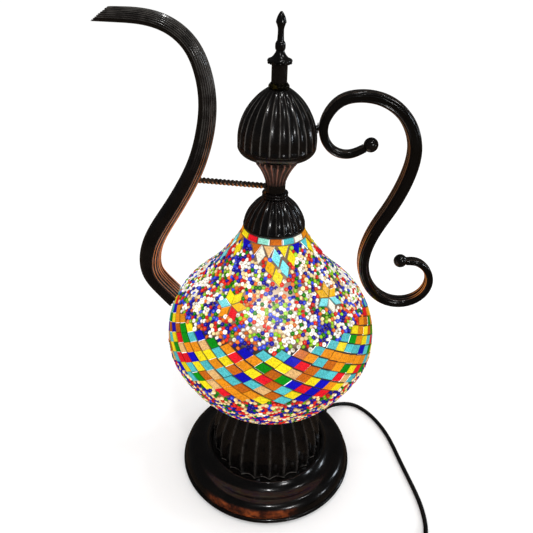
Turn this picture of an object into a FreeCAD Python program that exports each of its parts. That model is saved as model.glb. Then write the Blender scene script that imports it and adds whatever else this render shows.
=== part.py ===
"""Mosaic glass table lamp in the shape of a lidded ewer.

The origin is the centre of the foot on the table, +Z is up, the spout points to -X and the handle to +X.
All sizes are millimetres. The lamp stacks on two threaded rods: the lower one holds the base, pedestal
and socket together, and the upper one holds the cap, neck, lid and finial down on the glass.
"""
import FreeCAD, Part
import math
import os
import Sketcher
from FreeCAD import Placement, Rotation, Vector

SIZES = {
    # base
    "felt_radius": 75.4,
    "felt_thickness": 1.0,
    "cover_thickness": 1.0,
    "rim_radius": 79.3,
    "rim_bead": 2.0,
    "shoulder_radius": 54.6,
    "shoulder_height": 24.0,
    "deck_height": 20.0,
    "sheet": 1.2,
    "weight_radius": 41.0,
    "weight_underside": 8.0,
    # pedestal
    "pedestal_foot_radius": 50.0,
    "pedestal_top_radius": 32.5,
    "pedestal_top_height": 85.2,
    # globe
    "belly_radius": 85.0,
    "belly_height": 151.9,
    "globe_bottom": 88.0,
    "globe_top": 246.5,
    "mosaic_thickness": 2.2,
    "glass_thickness": 2.0,
    "seat_gap": 0.05,
    # lower threaded tube
    "tube_radius": 5.0,
    "tube_bore": 3.5,
    "tube_low": 5.5,
    "tube_top": 108.0,
    "rod_play": 0.05,
    "hole_play": 0.3,
    "nut_across_corners": 16.2,
    "nut_height": 5.0,
    "washer_radius": 9.0,
    "washer_height": 1.0,
    "wire_radius": 1.1,
    "wire_offset": 1.5,
    # upper threaded rod
    "rod_radius": 3.0,
    "rod_low": 256.0,
    "rod_top": 358.5,
    "small_nut_across_corners": 11.5,
    # socket and bulb
    "socket_radius": 13.5,
    "socket_low": 103.1,
    "socket_top": 146.0,
    "bulb_cap_radius": 6.7,
    "bulb_radius": 22.5,
    "bulb_height": 170.0,
    "bulb_wall": 0.8,
    "light_stick_radius": 0.8,
    "light_stick_length": 18.0,
    "light_stick_reach": 4.5,
    # harp
    "harp_wire": 1.5,
    "harp_reach": 28.0,
    "harp_saddle_height": 101.5,
    "harp_top_height": 258.5,
    "harp_plate_width": 12.0,
    "harp_plate_thickness": 1.5,
    "harp_bridge_length": 22.0,
    "harp_bridge_width": 9.0,
    "harp_bridge_thickness": 2.0,
    # cap, neck and lid
    "cap_radius": 23.4,
    "cap_low": 247.5,
    "cap_top": 269.8,
    "collar_radius": 8.6,
    "neck_radius": 7.3,
    "collar_top": 280.6,
    "funnel_top_radius": 15.3,
    "funnel_lip": 4.5,
    "funnel_top": 301.0,
    "lid_radius": 27.7,
    "lid_seam": 307.5,
    "lid_top": 347.2,
    "lid_crown_radius": 8.2,
    # finial
    "stem_radius": 5.3,
    "stem_top": 362.6,
    "flange_radius": 8.3,
    "finial_tip": 393.8,
    # spout and strut
    "spout_wall": 1.2,
    "spout_foot_radius": 9.2,
    "spout_waist_radius": 6.6,
    "spout_mouth_radius": 4.3,
    "spout_glass_gap": 0.8,
    "mouth_reach": 113.0,
    "mouth_height": 389.2,
    "mouth_slant": 54.0,
    "strut_side": 3.2,
    "strut_height": 281.2,
    "strut_fall": 3.1,
    "strut_reach": 57.5,
    "strut_inner_reach": 6.2,
    "rivet_radius": 2.6,
    # handle
    "handle_end_thickness": 5.0,
    "handle_mid_thickness": 9.6,
    "handle_end_depth": 6.5,
    "handle_mid_depth": 11.5,
    "handle_ball_radius": 5.2,
    "handle_screw_radius": 1.85,
    "handle_screw_height": 321.5,
    "handle_screw_start": 21.7,
    "screw_head_radius": 3.4,
    "screw_head_height": 2.2,
    "screw_length": 10.3,
    "spacer_radius": 3.6,
    "spacer_thickness": 0.43,
    "spacer_start": 27.45,
    # cord, switch and plug
    "cord_radius": 1.9,
    "cord_exit_azimuth": 40.0,
    "cord_exit_height": 9.4,
    "switch_length": 58.0,
    "switch_width": 24.0,
    "switch_height": 16.0,
    "switch_x": 134.6,
    "switch_y": -136.0,
    "rocker_width": 9.6,
    "rocker_length": 18.0,
    "rocker_pivot_height": 13.2,
    "rocker_pin_radius": 1.0,
    "rocker_tilt": 10.0,
    "plug_length": 36.0,
    "plug_width": 35.3,
    "plug_height": 13.7,
    "plug_x": 2.0,
    "plug_y": -180.0,
    "pin_radius": 2.0,
    "pin_root_radius": 1.5,
    "pin_length": 19.0,
    "pin_spacing": 19.0,
}

doc = FreeCAD.newDocument("mosaic_table_lamp")
sheet = doc.addObject("Spreadsheet::Sheet", "Sizes")
subparts = {}


class Size:
    """A length that carries its value and the sheet expression that gives it."""

    def __init__(self, value, text):
        self.value = float(value)
        self.text = text

    def __add__(self, other):
        other = as_size(other)
        return Size(self.value + other.value, f"({self.text} + {other.text})")

    def __radd__(self, other):
        return as_size(other) + self

    def __sub__(self, other):
        other = as_size(other)
        return Size(self.value - other.value, f"({self.text} - {other.text})")

    def __rsub__(self, other):
        return as_size(other) - self

    def __mul__(self, other):
        other = as_size(other)
        return Size(self.value * other.value, f"({self.text} * {other.text})")

    def __rmul__(self, other):
        return as_size(other) * self

    def __truediv__(self, other):
        other = as_size(other)
        return Size(self.value / other.value, f"({self.text} / {other.text})")

    def __neg__(self):
        return Size(-self.value, f"(0 - {self.text})")


def as_size(number):
    """A plain number as a Size whose expression is the number itself."""
    if isinstance(number, Size):
        return number
    if number < 0:
        return Size(number, f"(0 - {-number:g})")
    return Size(number, f"{number:g}")


def fill_sheet():
    """One row for each driving size: its name in A, its number in B under that alias."""
    for row, (name, value) in enumerate(SIZES.items(), start=1):
        sheet.set(f"A{row}", name)
        sheet.set(f"B{row}", f"{value:g}")
        sheet.setAlias(f"B{row}", name)
    doc.recompute()


def size(name):
    """The driving size of that name, read from the sheet."""
    return Size(sheet.get(name), f"Sizes.{name}")


def bind(thing, **properties):
    """Set each property of a feature from a Size and bind it to the sheet."""
    for name, wanted in properties.items():
        wanted = as_size(wanted)
        setattr(thing, name, wanted.value)
        thing.setExpression(name, wanted.text)
    return thing


def place(thing, x=0, y=0, z=0, axis=Vector(0, 0, 1), angle=0):
    """Put a feature at a point whose coordinates are bound to the sheet, turned about an axis."""
    spot = [as_size(x), as_size(y), as_size(z)]
    base = Vector(spot[0].value, spot[1].value, spot[2].value)
    thing.Placement = Placement(base, Rotation(axis, angle))
    for letter, wanted in zip("xyz", spot):
        thing.setExpression(f"Placement.Base.{letter}", wanted.text)
    return thing


def keep(label, thing):
    """Register a finished sub-part under the name its file will have."""
    thing.Label = label
    subparts[label] = thing
    return thing


def origin_plane(body, role):
    """One of a body's own origin planes, such as XZ_Plane."""
    return next(item for item in body.Origin.OriginFeatures if item.Role == role)


def arc_between(start, end, radius):
    """The short arc from start to end, bulging to the left of its travel when radius is positive.

    The arc itself always runs anticlockwise, so one that bulges to the left starts at end.
    """
    chord = end - start
    half = chord.Length / 2
    reach = math.sqrt(max(radius * radius - half * half, 0.0))
    left = Vector(-chord.y, chord.x, 0).normalize()
    bulge = abs(radius) - reach
    middle = (start + end) * 0.5 + left * (bulge if radius > 0 else -bulge)
    return Part.Arc(end, middle, start) if radius > 0 else Part.Arc(start, middle, end)


def draw_outline(sketch, corners):
    """Draw a closed outline of (across, up[, arc radius]) corners, each bound to the sheet.

    A corner's arc radius bends the stretch that leads to it: positive bulges to the left of the
    direction of travel, negative to the right, and without one the stretch is straight.
    """
    spots = [(as_size(corner[0]), as_size(corner[1])) for corner in corners]
    points = [Vector(across.value, up.value, 0) for across, up in spots]
    count = len(corners)
    for index in range(count):
        start = points[index - 1]
        end = points[index]
        if len(corners[index]) == 3:
            radius = as_size(corners[index][2]).value
            sketch.addGeometry(arc_between(start, end, radius), False)
        else:
            sketch.addGeometry(Part.LineSegment(start, end), False)
    turned = [
        sketch.Geometry[index].StartPoint.distanceToPoint(points[index - 1]) > 1e-6
        for index in range(count)
    ]
    constraints, bindings = [], []
    for index in range(count):
        tail = 1 if turned[index] else 2
        following = (index + 1) % count
        head = 2 if turned[following] else 1
        constraints.append(Sketcher.Constraint("Coincident", index, tail, following, head))
        hold_corner(constraints, bindings, index, tail, spots[index])
        if len(corners[index]) == 3:
            bend = as_size(corners[index][2])
            bend = bend if bend.value > 0 else -bend
            bindings.append((len(constraints), bend.text))
            constraints.append(Sketcher.Constraint("Radius", index, bend.value))
    sketch.addConstraint(constraints)
    for number, text in bindings:
        sketch.setExpression(f"Constraints[{number}]", text)


def hold_corner(constraints, bindings, index, end, spot):
    """Hold one corner at its two coordinates; a zero coordinate holds it on the axis."""
    for kind, axis, wanted in (("DistanceX", -2, spot[0]), ("DistanceY", -1, spot[1])):
        if abs(wanted.value) < 1e-9:
            constraints.append(Sketcher.Constraint("PointOnObject", index, end, axis))
        else:
            bindings.append((len(constraints), wanted.text))
            constraints.append(Sketcher.Constraint(kind, -1, 1, index, end, wanted.value))


def sketched_body(name, plane, corners):
    """A new body with one sketch of the outline on one of its origin planes."""
    body = doc.addObject("PartDesign::Body", name)
    sketch = body.newObject("Sketcher::SketchObject", name + "_outline")
    sketch.AttachmentSupport = (origin_plane(body, plane), "")
    sketch.MapMode = "FlatFace"
    draw_outline(sketch, corners)
    return body, sketch


def lathe(name, corners):
    """A body turned about Z from its half section, given as (radius, height[, arc radius])."""
    body, sketch = sketched_body(name, "XZ_Plane", corners)
    turning = body.newObject("PartDesign::Revolution", name + "_turning")
    turning.Profile = sketch
    turning.ReferenceAxis = (sketch, ["V_Axis"])
    turning.Angle = 360
    body.Tip = turning
    return body


def cylinder(name, radius, height, z=0, x=0, y=0, axis=Vector(0, 0, 1), angle=0):
    """A cylinder standing at a point, or laid over by a turn about an axis."""
    rod = doc.addObject("Part::Cylinder", name)
    bind(rod, Radius=radius, Height=height)
    return place(rod, x, y, z, axis, angle)


def box(name, length, width, height, x, y, z):
    """A box centred on x and y that stands at z."""
    length, width = as_size(length), as_size(width)
    block = doc.addObject("Part::Box", name)
    bind(block, Length=length, Width=width, Height=height)
    return place(block, as_size(x) - length / 2, as_size(y) - width / 2, z)


def cut(name, base, tool):
    """The base less the tool."""
    result = doc.addObject("Part::Cut", name)
    result.Base = base
    result.Tool = tool
    return result


def fuse(name, *pieces):
    """Several pieces made into one solid."""
    result = doc.addObject("Part::MultiFuse", name)
    result.Shapes = list(pieces)
    return result


def group(name, *pieces):
    """Identical or paired pieces kept as separate solids in one node."""
    result = doc.addObject("Part::Compound", name)
    result.Links = list(pieces)
    return result


def feature(name, shape):
    """A sub-part whose shape is made by Part's own functions from the sheet's sizes."""
    result = doc.addObject("Part::Feature", name)
    result.Shape = shape
    result.Placement = Placement(Vector(0, 0, 0), Rotation())
    return result


def ring(name, inner, outer, low, high):
    """A flat ring about Z."""
    return lathe(name, [(inner, low), (outer, low), (outer, high), (inner, high)])


def hex_nut(name, across_corners, bore, z):
    """A hexagonal nut about Z that stands at z."""
    blank = doc.addObject("Part::Prism", name + "_blank")
    blank.Polygon = 6
    bind(blank, Circumradius=across_corners / 2, Height=size("nut_height"))
    place(blank, 0, 0, z)
    hole = cylinder(name + "_bore", bore, size("nut_height") + 2, as_size(z) - 1)
    return cut(name, blank, hole)


def smooth(points):
    """A curve through points."""
    curve = Part.BSplineCurve()
    curve.interpolate(points)
    return curve


# ---- base ----


def make_base():
    felt, plate = size("felt_thickness"), size("cover_thickness")
    radius, bead, sheet_t = size("rim_radius"), size("rim_bead"), size("sheet")
    crest, top, deck = size("shoulder_radius"), size("shoulder_height"), size("deck_height")
    hole = size("tube_radius") + size("hole_play")

    keep("base_felt", cylinder("base_felt", size("felt_radius"), felt))
    keep(
        "base_cover_plate",
        cylinder("base_cover_plate", size("felt_radius") - 0.5, plate, felt + 0.05),
    )

    # The dish: deck with the rod's hole, round crest, hollow flare, round shoulder, wall, bead rim.
    dish = lathe(
        "saucer_dish",
        [
            (hole, deck),
            (crest - 3.4, deck),
            (crest - 2.4, top - 1.6),
            (crest + 0.6, top - 1.0, 1.7),
            (crest + 11.4, top - 6.6, -13.2),
            (radius - 1.9, felt + 4.4, 10.5),
            (radius, felt + 2.5, bead),
            (radius - 1.4, felt + 0.9, 1.6),
            (radius - 3.6, felt + 0.9),
            (radius - 3.1, felt + 4.4),
            (crest + 11.4, top - 6.6 - sheet_t, -9.3),
            (crest - 0.3, top - 1.9, 14.4),
            (crest - 1.3, top - 2.2, -0.9),
            (crest - 2.6, deck - sheet_t),
            (hole, deck - sheet_t),
        ],
    )
    azimuth = size("cord_exit_azimuth").value
    outlet = doc.addObject("Part::Cylinder", "saucer_outlet")
    bind(outlet, Radius=size("cord_radius") + 1.2, Height=30)
    outlet.Placement = Placement(
        radial(azimuth, 60.0, SIZES["cord_exit_height"]), Rotation(Vector(0, 0, 1), radial(azimuth))
    )
    keep("base_saucer", cut("base_saucer", dish, outlet))

    keep("cord_grommet", cord_grommet(azimuth))
    low = size("weight_underside")
    keep(
        "base_weight",
        lathe(
            "base_weight",
            [
                (hole, low + 4.7),
                (14.0, low + 4.7),
                (14.0, low),
                (size("weight_radius"), low),
                (size("weight_radius") + 3.0, deck - sheet_t - 4.0),
                (size("weight_radius") + 2.0, deck - sheet_t - 0.2),
                (hole, deck - sheet_t - 0.2),
            ],
        ),
    )


def radial(azimuth, reach=1.0, up=0.0):
    """The point at an azimuth from +X, a distance out from the axis and a height up."""
    angle = math.radians(azimuth)
    return Vector(reach * math.cos(angle), reach * math.sin(angle), up)


def cord_grommet(azimuth):
    """A rubber bush with a flange outside the dish's wall, seated in it with a squeeze."""
    radius = SIZES["cord_radius"]
    sleeve = Part.makeCylinder(radius + 1.2, 9)
    flange = Part.makeCylinder(radius + 2.0, 1.6, Vector(0, 0, 7.4))
    bore = Part.makeCylinder(radius + 0.1, 12, Vector(0, 0, -1))
    bush = feature("cord_grommet", sleeve.fuse(flange).cut(bore))
    bush.Placement = Placement(
        radial(azimuth, 70.0, SIZES["cord_exit_height"]), Rotation(Vector(0, 0, 1), radial(azimuth))
    )
    return bush


def make_pedestal():
    deck, sheet_t = size("deck_height") + 0.05, size("sheet")
    foot, top = size("pedestal_foot_radius"), size("pedestal_top_height")
    top_r = size("pedestal_top_radius")
    hole = size("tube_radius") + size("hole_play")
    keep(
        "pedestal_dome",
        lathe(
            "pedestal_dome",
            [
                (foot - sheet_t - 0.6, deck),
                (foot - 0.6, deck),
                (foot, deck + 4.0),
                (top_r, top - 2.0, -90.0),
                (top_r - 1.6, top, -1.8),
                (hole, top),
                (hole, top - sheet_t),
                (top_r - 1.9, top - sheet_t),
                (foot - sheet_t, deck + 4.0, 88.8),
            ],
        ),
    )
    keep(
        "globe_seat_gasket",
        ring("globe_seat_gasket", 28.0, top_r - 1.0, top + 0.05, top + 2.05),
    )


# ---- globe ----


def globe_outline():
    """The outside of the mosaic from neck to foot, as radius and height.

    The body is an egg a little flatter than round. Its neck flares into the shoulder with a hollow
    curve, and below the belly it draws in to the opening that stands on the pedestal.
    """
    belly, middle = SIZES["belly_radius"], SIZES["belly_height"]
    top, bottom = SIZES["globe_top"], SIZES["globe_bottom"]
    rise, fall = top - middle, middle - bottom
    shares = [
        (0.278, 1.0),
        (0.320, 0.916),
        (0.396, 0.815),
        (0.525, 0.668),
        (0.650, 0.552),
        (0.766, 0.461),
        (0.906, 0.306),
        (0.985, 0.126),
        (1.0, 0.0),
        (0.983, -0.20),
        (0.900, -0.446),
        (0.735, -0.772),
        (0.560, -0.935),
        (0.394, -1.0),
    ]
    return [
        Vector(belly * across, 0, middle + (rise if up > 0 else fall) * up) for across, up in shares
    ]


def inset(curve, depth, count=25):
    """A curve at a depth inside another, on the side of the globe's axis."""
    first, last = curve.FirstParameter, curve.LastParameter
    points = []
    for index in range(count):
        parameter = first + (last - first) * index / (count - 1)
        along = curve.tangent(parameter)[0]
        inward = Vector(along.z, 0, -along.x)
        points.append(curve.value(parameter) + inward.normalize() * depth)
    return smooth(points)


def turned_wall(outside, inside, extra_foot=None, extra_neck=None):
    """A wall between two curves, turned about Z. The optional heights end it in short collars."""
    outer_top, outer_low = outside.value(outside.FirstParameter), outside.value(outside.LastParameter)
    inner_top, inner_low = inside.value(inside.FirstParameter), inside.value(inside.LastParameter)
    edges = [outside.toShape()]
    low_path = [outer_low, inner_low]
    if extra_foot is not None:
        wall = SIZES["glass_thickness"]
        low_path = [
            outer_low,
            Vector(outer_low.x, 0, extra_foot),
            Vector(outer_low.x - wall, 0, extra_foot),
            inner_low,
        ]
    top_path = [inner_top, outer_top]
    if extra_neck is not None:
        wall = SIZES["glass_thickness"]
        top_path = [
            inner_top,
            Vector(outer_top.x - wall, 0, extra_neck),
            Vector(outer_top.x, 0, extra_neck),
            outer_top,
        ]
    edges += [Part.makeLine(a, b) for a, b in zip(low_path, low_path[1:])]
    edges.append(inside.toShape())
    edges += [Part.makeLine(a, b) for a, b in zip(top_path, top_path[1:])]
    face = Part.Face(Part.Wire(Part.__sortEdges__(edges)))
    return face.revolve(Vector(0, 0, 0), Vector(0, 0, 1), 360)


def make_globe():
    outside = smooth(globe_outline())
    mosaic, glass = SIZES["mosaic_thickness"], SIZES["glass_thickness"]
    gap = SIZES["seat_gap"]
    keep("mosaic_layer", feature("mosaic_layer", turned_wall(outside, inset(outside, mosaic))))
    seat = SIZES["pedestal_top_height"] + 2.1
    neck = SIZES["globe_top"]
    keep(
        "glass_globe",
        feature(
            "glass_globe",
            turned_wall(
                inset(outside, mosaic + gap), inset(outside, mosaic + gap + glass), seat, neck
            ),
        ),
    )


# ---- lower rod, socket and bulb ----


def make_lower_rod():
    radius, low, top = size("tube_radius"), size("tube_low"), size("tube_top")
    keep("center_rod", ring("center_rod", size("tube_bore"), radius, low, top))
    bore = radius + size("rod_play")
    corners, tall = size("nut_across_corners"), size("nut_height")
    washer, thick = size("washer_radius"), size("washer_height")
    deck = size("pedestal_top_height")
    saddle = size("harp_saddle_height")
    base_nut = size("weight_underside") - 1.5
    keep(
        "lower_nuts",
        group(
            "lower_nuts",
            hex_nut("base_nut", corners, bore, base_nut),
            hex_nut("deck_nut", corners, bore, deck + thick + 0.1),
            hex_nut("saddle_nut", corners, bore, saddle - tall - 0.05),
        ),
    )
    keep(
        "lower_washers",
        group(
            "lower_washers",
            ring("base_washer", bore, washer, base_nut + tall + 0.05, base_nut + tall + 1.05),
            ring("deck_washer", bore, washer, deck + 0.05, deck + thick + 0.05),
        ),
    )
    offset = size("wire_offset")
    wires = [
        cylinder(f"wire_{side}", size("wire_radius"), top + 4 - low, low + 1, x=across)
        for side, across in (("live", offset), ("neutral", -offset))
    ]
    keep("inner_wires", group("inner_wires", *wires))


def make_socket():
    radius, low, top = size("socket_radius"), size("socket_low"), size("socket_top")
    bore, cap = size("tube_radius") + size("rod_play"), size("bulb_cap_radius")
    thread = cap + 0.05
    keep(
        "socket_body",
        lathe(
            "socket_body",
            [
                (bore, low),
                (radius - 1.5, low),
                (radius, low + 1.5, 1.5),
                (radius, top),
                (thread + 1.0, top),
                (thread + 1.0, low + 14.0),
                (bore, low + 10.0),
            ],
        ),
    )
    keep("socket_thread_ring", ring("socket_thread_ring", thread, thread + 0.9, low + 22, top - 3))
    keep("socket_contact", box("socket_contact", 9.0, 3.0, 0.8, 0, 0, low + 15.2))


def bulb_blank(name, throat, ball, neck, centre):
    """A ball on a conical neck."""
    sphere = doc.addObject("Part::Sphere", name + "_ball")
    bind(sphere, Radius=ball)
    place(sphere, 0, 0, centre)
    cone = doc.addObject("Part::Cone", name + "_neck")
    bind(cone, Radius1=throat, Radius2=ball * 0.72, Height=centre - ball * 0.694 - neck)
    place(cone, 0, 0, neck)
    return fuse(name, sphere, cone)


def make_bulb():
    cap, low = size("bulb_cap_radius"), size("socket_low") + 18.4
    neck, ball, centre = size("socket_top") + 0.3, size("bulb_radius"), size("bulb_height")
    wall = size("bulb_wall")
    keep(
        "bulb_cap",
        lathe(
            "bulb_cap",
            [
                (0, low),
                (2.2, low),
                (2.2, low + 1.0),
                (cap, low + 3.4),
                (cap, neck - 0.1),
                (0, neck - 0.1),
            ],
        ),
    )
    outside = bulb_blank("bulb_outside", cap - 0.4, ball, neck, centre)
    inside = bulb_blank("bulb_inside", cap - 0.4 - wall, ball - wall, neck - 0.5, centre)
    keep("bulb_glass", cut("bulb_glass", outside, inside))
    sticks = []
    for number, (across, along) in enumerate(((1, 0), (0, 1), (-1, 0), (0, -1))):
        reach = size("light_stick_reach")
        stick = cylinder(
            f"filament_{number}",
            size("light_stick_radius"),
            size("light_stick_length"),
            centre - 6,
            x=reach * across,
            y=reach * along,
        )
        sticks.append(stick)
    stem = cylinder("filament_stem", 2.6, centre - neck - 7, neck + 0.2)
    plate = cylinder("filament_plate", 5.8, 0.8, centre - 6.9)
    keep("bulb_filament", group("bulb_filament", fuse("filament_tree", stem, plate), *sticks))


def flat_bar(length, width, thickness, low):
    """A flat bar centred on the axis that stands at a height."""
    return Part.makeBox(length, width, thickness, Vector(-length / 2, -width / 2, low))


def make_harp():
    wire, reach = SIZES["harp_wire"], SIZES["harp_reach"]
    low, top = SIZES["harp_saddle_height"], SIZES["harp_top_height"]
    leg_foot = SIZES["socket_radius"] + 3.0
    legs = []
    for side in (-1, 1):
        spine = smooth(
            [
                Vector(side * leg_foot, 0, low + 0.8),
                Vector(side * reach, 0, low + 40),
                Vector(side * reach, 0, low + 90),
                Vector(side * (reach - 9), 0, low + 128),
                Vector(side * 9, 0, top),
            ]
        )
        path = Part.Wire(spine.toShape())
        start = spine.value(spine.FirstParameter)
        profile = Part.Wire(Part.makeCircle(wire, start, spine.tangent(spine.FirstParameter)[0]))
        legs.append(path.makePipeShell([profile], True, True))
    play = SIZES["hole_play"]
    saddle = Part.makeCylinder(leg_foot + 2, SIZES["harp_plate_thickness"], Vector(0, 0, low))
    saddle = saddle.common(flat_bar(3 * leg_foot, SIZES["harp_plate_width"], 4, low - 1))
    saddle = saddle.cut(Part.makeCylinder(SIZES["tube_radius"] + play, 4, Vector(0, 0, low - 1)))
    bridge = flat_bar(
        SIZES["harp_bridge_length"], SIZES["harp_bridge_width"], SIZES["harp_bridge_thickness"], top - 1
    )
    bridge = bridge.cut(Part.makeCylinder(SIZES["rod_radius"] + play, 4, Vector(0, 0, top - 2)))
    frame = saddle.fuse([bridge] + legs)
    keep("harp_frame", feature("harp_frame", frame))


# ---- cap, neck, lid and finial ----


def make_cap_and_neck():
    hole, sheet_t = size("rod_radius") + 0.25, size("sheet")
    radius, low, top = size("cap_radius"), size("cap_low"), size("cap_top")
    keep("cap_gasket", ring("cap_gasket", 18.5, radius - 0.2, size("globe_top") + 0.05, low - 0.05))
    keep(
        "top_cap",
        lathe(
            "top_cap",
            [
                (radius - sheet_t, low),
                (radius, low),
                (radius, low + 2.1),
                (size("collar_radius") + 0.6, top, -32.0),
                (hole, top),
                (hole, top - sheet_t),
                (size("collar_radius") + 0.1, top - sheet_t),
                (radius - sheet_t, low + 2.0, 31.0),
            ],
        ),
    )
    collar, neck, collar_top = size("collar_radius"), size("neck_radius"), size("collar_top")
    bead = 1.1
    low = top + 0.05
    keep(
        "neck_collar",
        lathe(
            "neck_collar",
            [
                (hole, low),
                (collar, low),
                (collar, low + 2 * bead, -bead),
                (collar, low + 4 * bead, -bead),
                (neck, low + 4 * bead + 0.5),
                (neck, collar_top),
                (hole, collar_top),
            ],
        ),
    )
    low, high, wide = collar_top + 0.05, size("funnel_top"), size("funnel_top_radius")
    keep(
        "neck_funnel",
        lathe(
            "neck_funnel",
            [
                (hole, low),
                (neck + 0.2, low),
                (neck + 0.2, low + 1.6),
                (wide, high - size("funnel_lip"), 40.0),
                (wide, high),
                (hole, high),
            ],
        ),
    )


def make_lid():
    hole, sheet_t = size("rod_radius") + 0.25, size("sheet")
    radius, seam, top = size("lid_radius"), size("lid_seam"), size("lid_top")
    low, wide = size("funnel_top") + 0.05, size("funnel_top_radius")
    keep(
        "lid_bowl",
        lathe(
            "lid_bowl",
            [
                (hole, low),
                (wide + 2.2, low),
                (radius, seam, -9.0),
                (radius - sheet_t, seam),
                (wide + 2.0, low + sheet_t, 7.8),
                (hole, low + sheet_t),
            ],
        ),
    )
    crown = size("lid_crown_radius")
    shell = lathe(
        "lid_shell",
        [
            (hole, top - sheet_t),
            (crown - 0.6, top - sheet_t),
            (radius - sheet_t, seam + 0.05, 40.8),
            (radius, seam + 0.05),
            (crown, top, -42.0),
            (hole, top),
        ],
    )
    screw_hole = cylinder(
        "lid_screw_hole",
        size("handle_screw_radius") + 0.15,
        14,
        size("handle_screw_height"),
        x=18,
        axis=Vector(0, 1, 0),
        angle=90,
    )
    keep("lid_dome", cut("lid_dome", shell, screw_hole))


def make_upper_rod():
    radius, low, top = size("rod_radius"), size("rod_low"), size("rod_top")
    keep("upper_rod", cylinder("upper_rod", radius, top - low, low))
    corners, bore = size("small_nut_across_corners"), radius + size("rod_play")
    bridge = size("harp_top_height") + 1.05
    bowl_floor = size("funnel_top") + 0.1 + size("sheet")
    nuts = group(
        "upper_nuts",
        hex_nut("bridge_nut", corners, bore, bridge),
        hex_nut("lid_nut", corners, bore, bowl_floor),
    )
    keep("upper_nuts", nuts)


def make_finial():
    hole, stem, base = size("rod_radius") + 0.25, size("stem_radius"), size("lid_top") + 0.05
    keep(
        "finial_collar",
        lathe(
            "finial_collar",
            [
                (hole, base),
                (stem + 1.2, base),
                (stem + 1.0, base + 3.0, -1.9),
                (stem + 0.3, base + 3.9),
                (hole, base + 3.9),
            ],
        ),
    )
    low, top = base + 4.0, size("stem_top")
    bore, depth = size("rod_radius") + size("rod_play"), size("rod_top") + 0.7
    keep(
        "finial_stem",
        lathe(
            "finial_stem",
            [(bore, low), (stem, low), (stem, top), (0, top), (0, depth), (bore, depth)],
        ),
    )
    edge = size("flange_radius")
    keep(
        "finial_flange",
        lathe(
            "finial_flange",
            [
                (0, top + 0.05),
                (stem + 0.6, top + 0.05),
                (edge, top + 1.9, 4.0),
                (edge - 1.4, top + 3.5, -1.6),
                (0, top + 3.5),
            ],
        ),
    )
    tip, foot = size("finial_tip"), top + 3.55
    keep(
        "finial_spire",
        lathe(
            "finial_spire",
            [
                (0, foot),
                (edge - 1.9, foot),
                (2.7, foot + 4.6, 9.0),
                (3.4, foot + 7.4, -4.0),
                (2.3, foot + 10.6, -4.0),
                (2.0, tip - 10.4, 60.0),
                (3.4, tip - 6.3, 12.0),
                (0.6, tip, -12.0),
                (0, tip),
            ],
        ),
    )


# ---- spout, strut and handle ----


def ring_section(centre, along, wide, deep, count=16):
    """A closed curve across a path: wide in the path's own plane, deep across it, softly squared."""
    across = Vector(along.z, 0, -along.x).normalize()
    points = []
    for index in range(count):
        turn = 2 * math.pi * index / count
        cos, sin = math.cos(turn), math.sin(turn)
        square = (abs(cos) ** 4 + abs(sin) ** 4) ** -0.25
        points.append(
            centre
            + across * (cos * square * wide / 2)
            + Vector(0, 1, 0) * (sin * square * deep / 2)
        )
    curve = Part.BSplineCurve()
    curve.interpolate(Points=points, PeriodicFlag=True)
    return Part.Wire(curve.toShape())


def stations(curve, count):
    """Evenly spaced places along a curve, as (share of its length, point, direction)."""
    total = curve.length()
    for index in range(count):
        share = index / (count - 1)
        parameter = curve.parameterAtDistance(total * share, curve.FirstParameter)
        yield share, curve.value(parameter), curve.tangent(parameter)[0]


def spout_path():
    """The spout's centre line, from the glass up its S-bend to the mouth."""
    spots = [
        (-73, 174), (-86.5, 190), (-94.8, 203), (-95.6, 218), (-90, 234.6), (-77.7, 255),
        (-65.9, 274.6), (-56.8, 293.2), (-50.4, 314), (-47.7, 335.6), (-50.6, 357.5), (-57.8, 373),
        (-70, 383.4), (-86, 388.4), (-104, 389.3), (-126, 389.4),
    ]
    return smooth([Vector(across, 0, up) for across, up in spots])


def spout_radius(share):
    """Radius along the spout: full at the glass, slim at the waist and slimmer at the mouth."""
    foot, waist, mouth = SIZES["spout_foot_radius"], SIZES["spout_waist_radius"], SIZES["spout_mouth_radius"]
    if share < 0.55:
        return foot + (waist - foot) * math.sin(share / 0.55 * math.pi / 2) ** 1.5
    return waist + (mouth - waist) * ((share - 0.55) / 0.45)


def make_spout():
    path = spout_path()
    wall = SIZES["spout_wall"]
    outer, inner = [], []
    for share, centre, along in stations(path, 19):
        radius = spout_radius(share)
        outer.append(Part.Wire(Part.makeCircle(radius, centre, along)))
        inner.append(Part.Wire(Part.makeCircle(radius - wall, centre, along)))
    tube = Part.makeLoft(outer, True, False).cut(Part.makeLoft(inner, True, False))
    globe_curve = smooth(globe_outline())
    clear = inset(globe_curve, -SIZES["spout_glass_gap"])
    high, low = clear.value(clear.FirstParameter), clear.value(clear.LastParameter)
    edges = [
        clear.toShape(),
        Part.makeLine(low, Vector(0, 0, low.z)),
        Part.makeLine(Vector(0, 0, low.z), Vector(0, 0, high.z)),
        Part.makeLine(Vector(0, 0, high.z), high),
    ]
    face = Part.Face(Part.Wire(Part.__sortEdges__(edges)))
    tube = tube.cut(face.revolve(Vector(0, 0, 0), Vector(0, 0, 1), 360))
    slant = Part.makeBox(40, 40, 60, Vector(-40, -20, -30))
    mouth = Vector(-SIZES["mouth_reach"], 0, SIZES["mouth_height"])
    slant.Placement = Placement(mouth, Rotation(Vector(0, 1, 0), SIZES["mouth_slant"]))
    tube = tube.cut(slant)
    side = SIZES["strut_side"]
    corner = Vector(-SIZES["strut_reach"] - side / 2, -side / 2, SIZES["strut_height"] - side / 2)
    hole = Part.makeBox(9, side, side, corner)
    keep("spout", feature("spout", max(tube.cut(hole).Solids, key=lambda solid: solid.Volume)))


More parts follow.
